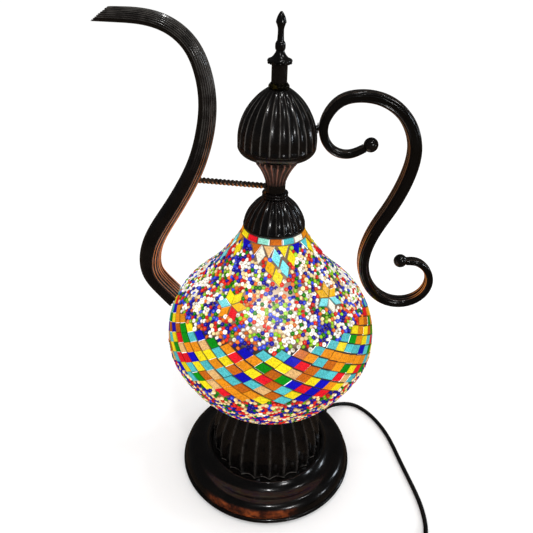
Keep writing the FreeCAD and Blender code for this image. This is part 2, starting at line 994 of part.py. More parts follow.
def make_strut():
    """A twisted square bar from the spout's wall to the neck, with a rivet head inside the spout."""
    side, height = SIZES["strut_side"], SIZES["strut_height"]
    low, high = -SIZES["strut_reach"], -SIZES["strut_inner_reach"]
    turns, count = 2.0, 33
    sections = []
    for index in range(count):
        share = index / (count - 1)
        centre = Vector(low + (high - low) * share, 0, height - SIZES["strut_fall"] * share)
        corners = []
        for corner in range(4):
            turn = math.radians(45 + 90 * corner) + 2 * math.pi * turns * share
            corners.append(centre + Vector(0, math.cos(turn), math.sin(turn)) * side / math.sqrt(2))
        sections.append(Part.makePolygon(corners + corners[:1]))
    keep("spout_strut", feature("spout_strut", Part.makeLoft(sections, True, True)))
    head = Part.makeSphere(SIZES["rivet_radius"], Vector(low - 0.1, 0, height))
    head = head.cut(Part.makeBox(6, 8, 8, Vector(low, -4, height - 4)))
    keep("strut_rivet", feature("strut_rivet", head))


def handle_path():
    """The handle's centre line: upper curl, long sweep down past the globe, lower curl."""
    spots = [
        (61.5, 308.4), (50.3, 303.7), (40.5, 305.7), (33.8, 312.6), (31.5, 322), (34.4, 332),
        (42, 340.4), (54.2, 343.8), (69.8, 341.8), (82.7, 334.5), (92, 322.5), (96.3, 308),
        (95.3, 293.1), (91.1, 277.9), (85.5, 264.2), (78.3, 249.8), (72.5, 234.6), (70.4, 218.8),
        (73.9, 203), (83, 189.6), (97, 182), (111, 182.8), (121.3, 190.8), (124.4, 203),
        (119.6, 213.6), (111, 218.8), (104, 218.9),
    ]
    return smooth([Vector(across, 0, up) for across, up in spots])


def make_handle():
    path = handle_path()
    sections = []
    for share, centre, along in stations(path, 49):
        swell = math.sin(math.pi * share) ** 1.3
        thick = SIZES["handle_end_thickness"] + swell * (
            SIZES["handle_mid_thickness"] - SIZES["handle_end_thickness"]
        )
        deep = SIZES["handle_end_depth"] + math.sin(math.pi * share) ** 0.6 * (
            SIZES["handle_mid_depth"] - SIZES["handle_end_depth"]
        )
        sections.append(ring_section(centre, along, thick, deep))
    bar = Part.makeLoft(sections, True, False)
    screw, height = SIZES["handle_screw_radius"], SIZES["handle_screw_height"]
    bar = bar.cut(Part.makeCylinder(screw + 0.1, 8, Vector(26, 0, height), Vector(1, 0, 0)))
    keep("handle_bar", feature("handle_bar", bar))
    ball = size("handle_ball_radius")
    balls = []
    for name, across, up in (("upper_ball", 65.5, 310.7), ("lower_ball", 99.5, 219.1)):
        sphere = doc.addObject("Part::Sphere", name)
        bind(sphere, Radius=ball)
        balls.append(place(sphere, across, 0, up))
    keep("handle_end_balls", group("handle_end_balls", *balls))


def make_handle_screw():
    radius, height = size("handle_screw_radius"), size("handle_screw_height")
    start, washer = size("handle_screw_start"), size("spacer_start")

    def lying(name, wide, long, across):
        return cylinder(name, wide, long, height, x=across, axis=Vector(0, 1, 0), angle=90)

    head = lying("handle_screw_head", size("screw_head_radius"), size("screw_head_height"), start)
    shank = lying("handle_screw_shank", radius, size("screw_length"), start)
    keep("handle_screw", fuse("handle_screw", head, shank))
    blank = lying("spacer_blank", size("spacer_radius"), size("spacer_thickness"), washer)
    bore = lying("spacer_bore", radius + 0.15, 4, washer - 1)
    keep("handle_spacer", cut("handle_spacer", blank, bore))


# ---- cord, switch and plug ----


def pipe(points, radius):
    """A round solid swept along a smooth path."""
    spine = smooth(points)
    start = spine.value(spine.FirstParameter)
    profile = Part.Wire(Part.makeCircle(radius, start, spine.tangent(spine.FirstParameter)[0]))
    return Part.Wire(spine.toShape()).makePipeShell([profile], True, True)


def make_cord():
    radius, rest = SIZES["cord_radius"], SIZES["cord_radius"] + 0.15
    azimuth = SIZES["cord_exit_azimuth"]
    switch_x, switch_y = SIZES["switch_x"], SIZES["switch_y"]
    half, entry = SIZES["switch_length"] / 2, SIZES["switch_height"] / 2
    inside = [
        radial(azimuth, 13.0, 5.0),
        radial(azimuth, 30.0, 5.0),
        radial(azimuth, 41.0, 5.2),
        radial(azimuth, 50.0, 6.8),
        radial(azimuth, 60.0, 9.0),
        radial(azimuth, 70.0, 9.4),
        radial(azimuth, 79.0, 9.3),
    ]
    on_table = [
        Vector(68.5, 58.6, 6.5),
        Vector(76, 64.4, 3.4),
        Vector(83.5, 66.9, rest),
        Vector(91.5, 66.2, rest),
        Vector(100, 61.6, rest),
        Vector(112.4, 47, rest),
        Vector(122.6, 24, rest),
        Vector(129, -5, rest),
        Vector(134.7, -33, rest),
        Vector(138.6, -58, rest),
        Vector(138.7, -70, rest + 0.1),
        Vector(137.4, -80, rest + 0.9),
        Vector(135.4, -88, rest + 2.8),
        Vector(switch_x, switch_y + half + 10, entry - 0.7),
        Vector(switch_x, switch_y + half + 4, entry),
        Vector(switch_x, switch_y + half - 4, entry),
    ]
    plug_x, plug_y = SIZES["plug_x"], SIZES["plug_y"]
    to_plug = [
        Vector(switch_x, switch_y - half + 4, entry),
        Vector(switch_x, switch_y - half - 3, entry),
        Vector(switch_x - 0.6, switch_y - half - 10, entry - 1),
        Vector(131, -184, rest + 1.6),
        Vector(122, -197, rest),
        Vector(104, -206, rest),
        Vector(76, -205, rest),
        Vector(56, -197, rest),
        Vector(40, -188.5, 3.2),
        Vector(27, -183, 5.6),
        Vector(plug_x + 14, plug_y - 0.3, SIZES["plug_height"] / 2 - 0.2),
        Vector(plug_x + 5, plug_y, SIZES["plug_height"] / 2),
        Vector(plug_x - 4, plug_y, SIZES["plug_height"] / 2),
    ]
    cord = Part.makeCompound([pipe(inside + on_table, radius), pipe(to_plug, radius)])
    keep("power_cord", feature("power_cord", cord))


def switch_shell(name, low, high, floor):
    """Half of the switch's casing: a box with round upright corners and a hollow middle."""
    length, width = size("switch_length"), size("switch_width")
    x, y = size("switch_x"), size("switch_y")
    block = box(name + "_block", width, length, high - low, x, y, low)
    rounded = doc.addObject("Part::Fillet", name + "_rounded")
    rounded.Base = block
    doc.recompute()
    upright = [
        number + 1
        for number, edge in enumerate(block.Shape.Edges)
        if abs(edge.Vertexes[0].Z - edge.Vertexes[1].Z) > 1
    ]
    rounded.Edges = [(number, 7.0, 7.0) for number in upright]
    hollow_low = low + 2.0 if floor else low - 1.0
    hollow = box(name + "_hollow", width - 5, length - 8, 7.0, x, y, hollow_low)
    bore = cylinder(
        name + "_cord_bore",
        size("cord_radius") + 0.5,
        length + 10,
        size("switch_height") / 2,
        x=x,
        y=y - length / 2 - 5,
        axis=Vector(1, 0, 0),
        angle=-90,
    )
    return cut(name + "_trimmed", rounded, fuse(name + "_tools", hollow, bore))


def make_switch():
    height, x, y = size("switch_height"), size("switch_x"), size("switch_y")
    middle = height / 2
    lower = switch_shell("switch_base", as_size(0), middle, True)
    keep("switch_base", lower)
    upper = switch_shell("switch_cover", middle + 0.05, height, False)
    pivot, pin = size("rocker_pivot_height"), size("rocker_pin_radius")
    wide, long = size("rocker_width"), size("rocker_length")
    window = box("switch_window", wide + 0.4, long + 2.6, 12, x, y, middle - 1)
    pin_hole = cylinder(
        "switch_pin_hole", pin, 15, pivot, x=x - 7.5, y=y, axis=Vector(0, 1, 0), angle=90
    )
    keep("switch_cover", cut("switch_cover", upper, fuse("switch_cover_tools", window, pin_hole)))
    keep(
        "rocker_pin",
        cylinder("rocker_pin", pin, 14, pivot, x=x - 7, y=y, axis=Vector(0, 1, 0), angle=90),
    )
    keep("switch_rocker", switch_rocker(x, y, pivot, pin, wide, long))
    contacts = [
        box(f"contact_{side}", 5.0, 7.0, 0.8, x, y + along, 2.1)
        for side, along in (("near", -9.0), ("far", 9.0))
    ]
    keep("switch_contacts", group("switch_contacts", *contacts))


def switch_rocker(x, y, pivot, pin, wide, long):
    """The rocker, a shallow V block on its pin, standing tilted in its on position."""
    body, sketch = sketched_body(
        "rocker_block",
        "YZ_Plane",
        [
            (-long / 2, 3.2),
            (0, 4.4),
            (long / 2, 3.2),
            (long / 2 - 0.8, -2.0),
            (0, -4.0),
            (-long / 2 + 0.8, -2.0),
        ],
    )
    pad = body.newObject("PartDesign::Pad", "rocker_pad")
    pad.Profile = sketch
    pad.Midplane = True
    bind(pad, Length=wide)
    body.Tip = pad
    bore = cylinder(
        "rocker_bore", pin + 0.05, 20, 0, x=-10, axis=Vector(0, 1, 0), angle=90
    )
    rocker = cut("switch_rocker", body, bore)
    place(rocker, x, y, pivot, Vector(1, 0, 0), SIZES["rocker_tilt"])
    return rocker


def make_plug():
    length, width, height = size("plug_length"), size("plug_width"), size("plug_height")
    x, y = size("plug_x"), size("plug_y")
    front = x - length
    # A flat wedge: a small end where the cord enters, a wide face with the pins.
    wedge = doc.addObject("Part::Wedge", "plug_wedge")
    bind(
        wedge,
        Xmin=0, Ymin=0, Zmin=0, Xmax=width, Ymax=length, Zmax=height,
        X2min=width / 2 - 6.5, X2max=width / 2 + 6.5, Z2min=height / 2 - 4.5, Z2max=height / 2 + 4.5,
    )
    wedge.Placement = Placement(
        Vector(front.value, y.value + width.value / 2, 0),
        Rotation(Vector(0, 0, 1), -90),
    )
    wedge.setExpression("Placement.Base.x", front.text)
    wedge.setExpression("Placement.Base.y", (y + width / 2).text)
    softened = doc.addObject("Part::Fillet", "plug_softened")
    softened.Base = wedge
    doc.recompute()
    softened.Edges = [(number + 1, 1.2, 1.2) for number in range(len(wedge.Shape.Edges))]
    pins, holes = [], []
    for side in (-1, 1):
        across = y + size("pin_spacing") * (side / 2)
        name = "left" if side < 0 else "right"
        pin = cylinder(f"pin_free_{name}", size("pin_radius"), size("pin_length"), height / 2,
                       x=front, y=across, axis=Vector(0, 1, 0), angle=-90)
        root = cylinder(f"pin_root_{name}", size("pin_root_radius"), 7, height / 2,
                        x=front + 6, y=across, axis=Vector(0, 1, 0), angle=-90)
        pins.append(fuse(f"pin_{name}", pin, root))
        holes.append(
            cylinder(f"pin_seat_{name}", size("pin_root_radius"), 7, height / 2,
                     x=front + 6, y=across, axis=Vector(0, 1, 0), angle=-90)
        )
    entry = cylinder("plug_entry", size("cord_radius") + 0.5, 6, height / 2, x=x - 5, y=y,
                     axis=Vector(0, 1, 0), angle=90)
    keep("plug_body", cut("plug_body", softened, fuse("plug_tools", entry, *holes)))
    keep("plug_pins", group("plug_pins", *pins))


def check_document():
    """Stop unless every object of the document is sound and every sub-part holds valid solids."""
    doc.recompute()
    for thing in doc.Objects:
        for state in thing.State:
            if "Invalid" in state or "Error" in state:
                raise SystemExit(f"{thing.Name}: {thing.State}")
    for name, thing in subparts.items():
        shape = thing.Shape
        if shape.isNull() or not shape.isValid() or not shape.Solids:
            raise SystemExit(f"{name}: null, invalid or empty shape")


fill_sheet()
make_base()
make_pedestal()
make_globe()
make_lower_rod()
make_socket()
make_bulb()
make_harp()
make_cap_and_neck()
make_lid()
make_upper_rod()
make_finial()
make_spout()
make_strut()
make_handle()
make_handle_screw()
make_cord()
make_switch()
make_plug()
check_document()
os.makedirs("parts", exist_ok=True)
for node, thing in subparts.items():
    thing.Shape.exportStep(f"parts/{node}.step")
print(len(subparts), "sub-parts written")
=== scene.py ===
"""The looks of a ewer-shaped mosaic glass table lamp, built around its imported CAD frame.

Lengths here are millimetres until a mesh is made. The globe's surface is addressed by the distance
along it from the neck and by an azimuth, 0 at the front (-Y) and growing towards +X.
"""

import math

import bpy
import numpy as np
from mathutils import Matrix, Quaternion, Vector
from mathutils.bvhtree import BVHTree
from mathutils.kdtree import KDTree


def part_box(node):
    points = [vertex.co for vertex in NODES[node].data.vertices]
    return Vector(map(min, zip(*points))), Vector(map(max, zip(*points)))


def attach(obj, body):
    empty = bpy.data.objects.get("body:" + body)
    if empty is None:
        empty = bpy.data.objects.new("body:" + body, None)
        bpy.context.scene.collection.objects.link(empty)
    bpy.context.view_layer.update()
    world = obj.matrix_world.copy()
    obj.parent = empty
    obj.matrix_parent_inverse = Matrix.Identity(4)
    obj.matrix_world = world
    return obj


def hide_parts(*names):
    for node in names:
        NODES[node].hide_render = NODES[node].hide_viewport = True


MM = 0.001
TURN = 2 * math.pi

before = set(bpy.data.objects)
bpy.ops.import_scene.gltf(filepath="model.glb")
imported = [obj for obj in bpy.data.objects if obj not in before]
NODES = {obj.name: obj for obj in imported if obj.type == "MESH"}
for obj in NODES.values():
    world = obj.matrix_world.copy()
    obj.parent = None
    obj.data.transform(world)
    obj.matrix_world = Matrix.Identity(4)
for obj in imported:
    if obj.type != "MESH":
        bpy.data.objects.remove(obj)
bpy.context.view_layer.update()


def span(node):
    """Lowest and highest corner of a CAD node in millimetres."""
    low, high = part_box(node)
    return np.array(low) / MM, np.array(high) / MM


# ---- node materials ----


def node(tree, kind, inputs=None, **settings):
    """A shader node with its settings, and its inputs given as values or linked sockets."""
    made = tree.nodes.new("ShaderNode" + kind)
    for key, value in settings.items():
        setattr(made, key, value)
    for key, value in (inputs or {}).items():
        if isinstance(value, bpy.types.NodeSocket):
            tree.links.new(value, made.inputs[key])
        else:
            made.inputs[key].default_value = value
    return made


def calc(tree, operation, first, second=0.0, third=0.0, clamp=False):
    """One step of arithmetic."""
    made = node(tree, "Math", {0: first, 1: second, 2: third}, operation=operation, use_clamp=clamp)
    return made.outputs[0]


def product(tree, first, *others):
    """Several values multiplied together."""
    for other in others:
        first = calc(tree, "MULTIPLY", first, other)
    return first


def vector(tree, operation, first, second=(0, 0, 0)):
    """One step of vector arithmetic: a number for a length or a dot product, else a vector."""
    made = node(tree, "VectorMath", {0: first, 1: second}, operation=operation)
    return made.outputs["Value" if operation in ("LENGTH", "DOT_PRODUCT") else "Vector"]


def ramp(tree, value, low, high, start=0.0, end=1.0):
    """A value taken smoothly from one range to another."""
    inputs = {"Value": value, "From Min": low, "From Max": high, "To Min": start, "To Max": end}
    return node(tree, "MapRange", inputs, interpolation_type="SMOOTHSTEP").outputs[0]


def blend(tree, share, first, second, mode="MIX"):
    """A mix of two colours."""
    made = node(tree, "Mix", {0: share, 6: first, 7: second}, data_type="RGBA", blend_type=mode)
    return made.outputs[2]


def noise(tree, scale, detail=3.0, rough=0.5, stretch=(1, 1, 1)):
    """Noise in the object's own space, its scale in features per metre."""
    where = node(tree, "TexCoord").outputs["Object"]
    scaled = node(tree, "Mapping", {"Vector": where, "Scale": stretch}).outputs[0]
    inputs = {"Vector": scaled, "Scale": scale, "Detail": detail, "Roughness": rough}
    return node(tree, "TexNoise", inputs).outputs[0]


def bump(tree, height, strength, distance):
    """Fine relief for a surface, its distance in metres."""
    inputs = {"Height": height, "Strength": strength, "Distance": distance}
    return node(tree, "Bump", inputs).outputs[0]


def material(name, build, **principled):
    """A material with one Principled shader; build(tree) returns the inputs that nodes drive."""
    made = bpy.data.materials.new(name)
    made.use_nodes = True
    tree = made.node_tree
    shader = tree.nodes["Principled BSDF"]
    for key, value in {**principled, **build(tree)}.items():
        if isinstance(value, bpy.types.NodeSocket):
            tree.links.new(value, shader.inputs[key])
        else:
            shader.inputs[key].default_value = value
    return made


def srgb(red, green, blue):
    """A colour as it is seen, from 0 to 255, made linear."""
    return tuple(
        (c / 255 / 12.92) if c <= 10 else ((c / 255 + 0.055) / 1.055) ** 2.4
        for c in (red, green, blue)
    ) + (1.0,)


bulb_low, bulb_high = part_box("bulb_glass")
BULB = Vector((0, 0, bulb_high.z - (bulb_high.x - bulb_low.x) / 2))
GLOW_NEAR, GLOW_FAR = 0.09, 0.2


def line_to_bulb(tree, place):
    """The vector from a point of the surface to the middle of the bulb."""
    return vector(tree, "SUBTRACT", tuple(BULB), place.outputs["Position"])


def near_bulb(tree):
    """How much a surface faces the lit globe, fading to nothing at a distance from the bulb."""
    place = node(tree, "NewGeometry")
    line = line_to_bulb(tree, place)
    facing = vector(tree, "DOT_PRODUCT", vector(tree, "NORMALIZE", line), place.outputs["Normal"])
    close = ramp(tree, vector(tree, "LENGTH", line), GLOW_FAR, GLOW_NEAR)
    return product(tree, ramp(tree, facing, 0.1, 0.9), close)


def painted_table_reflection(tree):
    """A painted reflection of a brown table on the base's wall: a patchy orange-brown band, widest at
    the front.
    """
    place = node(tree, "SeparateXYZ", {0: node(tree, "NewGeometry").outputs["Position"]}).outputs
    under_edge = ramp(tree, place["Z"], 0.0142, 0.012)
    over_bead = ramp(tree, place["Z"], 0.0055, 0.0068)
    at_front = ramp(tree, place["Y"], -0.052, -0.072)
    at_left = ramp(tree, place["X"], 0.03, 0.012)
    patches = ramp(tree, noise(tree, 130, 4, 0.6, (1, 1, 2.5)), 0.36, 0.62, 0.25, 1.0)
    return product(tree, under_edge, over_bead, at_front, at_left, patches)


def patina(name, dark, brown, ridge_sheen_and_wear, warm, rough=0.2, wear=0.55, table_reflection=False):
    """Dark lacquered metal: cloudy brown on black; crests lighter with wear and a painted highlight; on
    crests facing the lit globe, a painted warm reflection and glow of it.
    """

    def build(tree):
        cloud = noise(tree, 55, 5, 0.6)
        grain = noise(tree, 900, 2, 0.6)
        colour = blend(tree, ramp(tree, cloud, 0.42, 0.72), dark, brown)
        # The crests take a lighter tone, partly wear and partly a painted highlight on the ridges.
        crest = node(tree, "Attribute", attribute_name="crest").outputs["Fac"]
        sheen_and_wear = ramp(tree, noise(tree, 160, 3), 0.3, 0.65, 0.3 * wear, wear)
        colour = blend(tree, product(tree, crest, sheen_and_wear), colour, ridge_sheen_and_wear)
        # A painted warm reflection of the lit globe, as colour and as glow, on crests that face it.
        globe_reflection_share = product(tree, near_bulb(tree), crest)
        colour = blend(tree, globe_reflection_share, colour, warm)
        if table_reflection:
            # A painted reflection of a brown table, as a patchy band low on the base's wall.
            reflected_table_tone = blend(tree, ramp(tree, cloud, 0.4, 0.65), srgb(58, 22, 10), srgb(150, 68, 24))
            colour = blend(tree, painted_table_reflection(tree), colour, reflected_table_tone)
        return {
            "Base Color": colour,
            "Roughness": calc(tree, "MULTIPLY_ADD", cloud, 0.2, rough - 0.1),
            "Normal": bump(tree, grain, 0.1, 0.0001),
            "Emission Color": warm,
            "Emission Strength": product(tree, globe_reflection_share, 0.6),
        }

    made = material(name, build, **{"Specular IOR Level": 0.5, "IOR": 1.5, "Coat Weight": 0.3})
    made.cycles.emission_sampling = "NONE"
    return made


# Tones: dark, brown, the crest tone of wear and painted highlight, and the globe's painted warm
# reflection.
BRONZE_TONES = srgb(6, 5, 5), srgb(15, 11, 9), srgb(122, 117, 112), srgb(236, 128, 40)
BLACK_TONES = srgb(2, 2, 2), srgb(5, 4, 4), srgb(84, 66, 52), srgb(236, 140, 58)
COPPER_TONES = srgb(20, 11, 9), srgb(52, 27, 20), srgb(176, 118, 98), srgb(104, 52, 34)
DARK_BRONZE = patina("dark_bronze", *BRONZE_TONES)
BLACK_BRONZE = patina("dark_bronze_handle", *BLACK_TONES)
# The base's bronze carries the painted table reflection on its wall.
BASE_BRONZE = patina("dark_bronze_base", *BRONZE_TONES, rough=0.19, table_reflection=True)
DARK_COPPER = patina("dark_copper", *COPPER_TONES, rough=0.3, wear=0.8)


def aged_brass(tree):
    """Brass under brown tarnish, bare in patches."""
    cloud = noise(tree, 260, 4, 0.6)
    colour = blend(tree, ramp(tree, cloud, 0.5, 0.7), srgb(20, 18, 10), srgb(116, 102, 44))
    return {"Base Color": colour, "Roughness": calc(tree, "MULTIPLY_ADD", cloud, 0.3, 0.12)}


def clouded(name, first, second, cloud, rough=None, grain=None, relief=None, lit=0.0, **principled):
    """A material that drifts between two tones with a noise.

    cloud and grain are settings of noise(). rough is (span, least), for a roughness that follows the
    cloud. relief is the (strength, distance) of the bumps that the grain makes, or else the cloud.
    """

    def build(tree):
        patches = noise(tree, *cloud)
        driven = {"Base Color": blend(tree, patches, first, second), "Emission Strength": lit}
        if rough:
            driven["Roughness"] = calc(tree, "MULTIPLY_ADD", patches, *rough)
        if relief:
            driven["Normal"] = bump(tree, noise(tree, *grain) if grain else patches, *relief)
        if lit:
            driven["Emission Color"] = driven["Base Color"]
        return driven

    return material(name, build, **principled)


BRASS = material("brass", aged_brass, Metallic=0.9)
ZINC = clouded(
    "zinc_steel", srgb(120, 124, 128), srgb(172, 176, 178), (180, 3), rough=(0.3, 0.22), Metallic=0.9
)
IRON = clouded(
    "cast_iron", srgb(38, 36, 35), srgb(66, 60, 56), (700, 4, 0.7), relief=(0.5, 0.0004),
    Metallic=0.3, Roughness=0.75,
)
PLASTIC = clouded(
    "black_plastic", srgb(20, 20, 21), srgb(29, 29, 30), (90, 2), rough=(0.12, 0.34),
    grain=(2400, 2, 0.6), relief=(0.18, 0.00008),
)
SHEATH = clouded(
    "cord_rubber", srgb(3, 3, 3), srgb(9, 9, 10), (70, 3), rough=(0.2, 0.5),
    grain=(1500, 2, 0.6), relief=(0.15, 0.0001),
)
RUBBER = clouded(
    "gasket_rubber", srgb(24, 24, 24), srgb(40, 38, 36), (1200, 2), relief=(0.2, 0.0001), Roughness=0.7
)
FELT = clouded(
    "felt", srgb(14, 22, 16), srgb(44, 58, 44), (1800, 4, 0.8, (1, 1, 0.3)), relief=(0.7, 0.0005),
    Roughness=0.95,
)
BULB_GLASS = clouded(
    "bulb_glass", srgb(255, 226, 178), srgb(255, 240, 214), (90, 2), lit=3.0, Roughness=0.35
)
STICKS = clouded("filament", srgb(255, 214, 140), srgb(255, 232, 176), (600, 2), lit=6.0, Roughness=0.5)
GLASS = clouded(
    "globe_glass", srgb(226, 232, 232), srgb(246, 248, 246), (40, 2), rough=(0.1, 0.05),
    IOR=1.5, Alpha=0.35,
)


def glow(tree, far_glow, hot_glow, reach):
    """How brightly the lamp shows through: most where the line of sight passes near the bulb."""
    place = node(tree, "NewGeometry")
    aside = vector(tree, "CROSS_PRODUCT", line_to_bulb(tree, place), place.outputs["Incoming"])
    return ramp(tree, vector(tree, "LENGTH", aside), reach, 0.004, far_glow, hot_glow)


def lit_glass(name, far_glow, hot_glow, reach, grain_scale, grain_depth, whiten, edge):
    """Coloured glass lit from inside. Its colour comes from the tint attribute.

    Where the glow is strongest it turns pale by the share whiten, and seen at a slant it darkens by
    the share edge.
    """

    def build(tree):
        tint = node(tree, "Attribute", attribute_name="tint").outputs["Color"]
        speck = noise(tree, grain_scale, 3, 0.7)
        shine = glow(tree, far_glow, hot_glow, reach)
        shade = ramp(tree, speck, 0.3, 0.7, 1 - grain_depth, 1 + grain_depth * 0.7)
        slant = node(tree, "LayerWeight", {"Blend": 0.5}).outputs["Facing"]
        shade = product(tree, shade, ramp(tree, slant, 0.25, 0.95, 1.0, 1 - edge))
        pale = ramp(tree, shine, far_glow + (hot_glow - far_glow) * 0.4, hot_glow, 0.0, whiten)
        seen = blend(tree, pale, tint, (1.0, 0.97, 0.9, 1.0))
        return {
            "Base Color": blend(tree, 1.0, tint, (0.1, 0.1, 0.1, 1.0), "MULTIPLY"),
            "Emission Color": seen,
            "Emission Strength": product(tree, shine, shade),
            "Normal": bump(tree, speck, 0.25, 0.0002),
        }

    made = material(name, build, Roughness=0.28, **{"Specular IOR Level": 0.3})
    made.cycles.emission_sampling = "NONE"
    return made


TILE_GLASS = lit_glass(
    "tile_glass", far_glow=0.95, hot_glow=1.15, reach=0.06,
    grain_scale=850, grain_depth=0.36, whiten=0.08, edge=0.25,
)
BEAD_GLASS = lit_glass(
    "bead_glass", far_glow=1.1, hot_glow=1.3, reach=0.04,
    grain_scale=500, grain_depth=0.2, whiten=0.08, edge=0.4,
)


def grout_paste(tree):
    """Resin and grout: warm and pale between beads, dark between the belt's tiles."""
    belt_low, belt_high, fade = 0.1475, 0.1845, 0.003
    height = node(tree, "SeparateXYZ", {0: node(tree, "NewGeometry").outputs["Position"]}).outputs["Z"]
    above = ramp(tree, height, belt_high, belt_high + fade)
    below = ramp(tree, height, belt_low, belt_low - fade)
    beads = calc(tree, "ADD", above, below, clamp=True)
    cloud = noise(tree, 350, 3)
    lines = blend(tree, cloud, srgb(60, 50, 46), srgb(104, 88, 80))
    shine = glow(tree, 0.3, 1.0, 0.045)
    paste = blend(tree, cloud, srgb(150, 104, 84), srgb(206, 170, 140))
    # Paler where the glow is strongest: the bulb's light painted into the paste.
    paste = blend(tree, ramp(tree, shine, 0.5, 1.0), paste, srgb(236, 212, 184))
    colour = blend(tree, beads, lines, paste)
    return {
        "Base Color": blend(tree, 1.0, colour, (0.2, 0.2, 0.2, 1.0), "MULTIPLY"),
        "Emission Color": colour,
        "Emission Strength": shine,
    }


GROUT = material("grout", grout_paste, Roughness=0.6)
GROUT.cycles.emission_sampling = "NONE"


# ---- mesh tools ----


def fill_mesh(name, points, faces):
    """A smooth-shaded mesh from points in millimetres and faces that all have as many corners."""
    points = np.asarray(points, np.float32).reshape(-1, 3) * MM
    faces = np.asarray(faces, np.int32)
    mesh = bpy.data.meshes.new(name)
    mesh.vertices.add(len(points))
    mesh.vertices.foreach_set("co", points.ravel())
    mesh.loops.add(faces.size)
    mesh.loops.foreach_set("vertex_index", faces.ravel())
    mesh.polygons.add(len(faces))
    mesh.polygons.foreach_set("loop_start", np.arange(0, faces.size, faces.shape[1], dtype=np.int32))
    mesh.update(calc_edges=True)
    mesh.shade_smooth()
    return mesh


def mark_sheen_and_wear(mesh, values):
    """How much each point takes the lighter crest tone, partly wear and partly a painted highlight, and
    the globe's painted reflection; the patina materials read it.
    """
    layer = mesh.attributes.new("crest", "FLOAT", "POINT")
    layer.data.foreach_set("value", np.asarray(values, np.float32).ravel())


def mark_tint(mesh, domain, colours):
    """A colour for each face or point, for the glass to read."""
    rows = np.ones((*colours.shape[:-1], 4), np.float32)
    rows[..., :3] = colours
    mesh.attributes.new("tint", "FLOAT_COLOR", domain).data.foreach_set("color", rows.ravel())


def add_object(name, data):
    """A new object in the scene."""
    made = bpy.data.objects.new(name, data)
    bpy.context.scene.collection.objects.link(made)
    return made


def show(name, mesh, look, body="lamp", replaces=()):
    """Make a mesh a piece of the lamp, in a look and a material slot, that rides on a body."""
    mesh.materials.append(look)
    piece = add_object(name, mesh)
    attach(piece, body)
    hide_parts(*replaces)


def grid_faces(rows, columns):
    """Quads of a grid that closes both ways, with columns running round."""
    row, column = np.meshgrid(np.arange(rows), np.arange(columns), indexing="ij")
    next_row, next_column = (row + 1) % rows, (column + 1) % columns
    corners = [(row, column), (row, next_column), (next_row, next_column), (next_row, column)]
    return np.stack([a * columns + b for a, b in corners], -1).reshape(-1, 4)


def node_tree(name):
    """A CAD node's surface, for measuring."""
    mesh = NODES[name].data
    points = [v.co / MM for v in mesh.vertices]
    return BVHTree.FromPolygons(points, [tuple(p.vertices) for p in mesh.polygons])


def outline(name, low, high, count):
    """The outer half section of a turned CAD node between two heights, as (radius, height) rows."""
    tree = node_tree(name)
    outside = -300
    rows = []
    for height in np.linspace(low, high, count):
        spot = tree.ray_cast(Vector((0, outside, height)), Vector((0, 1, 0)))[0]
        if spot is not None:
            rows.append((-spot.y, height))
    return np.array(rows)


def even(path, count):
    """The same path with its points evenly spaced."""
    path = np.asarray(path, float)
    gone = np.r_[0, np.cumsum(np.linalg.norm(np.diff(path, axis=0), axis=1))]
    steps = np.linspace(0, gone[-1], count)
    return np.stack([np.interp(steps, gone, column) for column in path.T], -1)


def outward(path):
    """Unit normals of a half section whose path runs up, pointing away from the axis."""
    along = np.gradient(path, axis=0)
    along /= np.linalg.norm(along, axis=1)[:, None]
    return np.stack([along[:, 1], -along[:, 0]], -1)


def spline(points, count):
    """Evenly spaced points on a smooth curve through others, a natural cubic by chord length."""
    points = np.asarray(points, float)
    knots = np.r_[0, np.cumsum(np.linalg.norm(np.diff(points, axis=0), axis=1))]
    gaps, size = np.diff(knots), len(points)
    system, target = np.eye(size), np.zeros_like(points)
    for i in range(1, size - 1):
        system[i, i - 1 : i + 2] = gaps[i - 1], 2 * (gaps[i - 1] + gaps[i]), gaps[i]
        slopes = (points[i + 1] - points[i]) / gaps[i] - (points[i] - points[i - 1]) / gaps[i - 1]
        target[i] = 6 * slopes
    bend = np.linalg.solve(system, target)
    where = np.linspace(0, knots[-1], 1500)
    i = np.clip(np.searchsorted(knots, where) - 1, 0, size - 2)
    gap = gaps[i][:, None]
    before, after = (where - knots[i])[:, None], (knots[i + 1] - where)[:, None]
    curve = (bend[i] * after**3 + bend[i + 1] * before**3) / (6 * gap)
    curve += (points[i] / gap - bend[i] * gap / 6) * after
    curve += (points[i + 1] / gap - bend[i + 1] * gap / 6) * before
    return even(curve, count)


# ---- fluted turned pieces ----


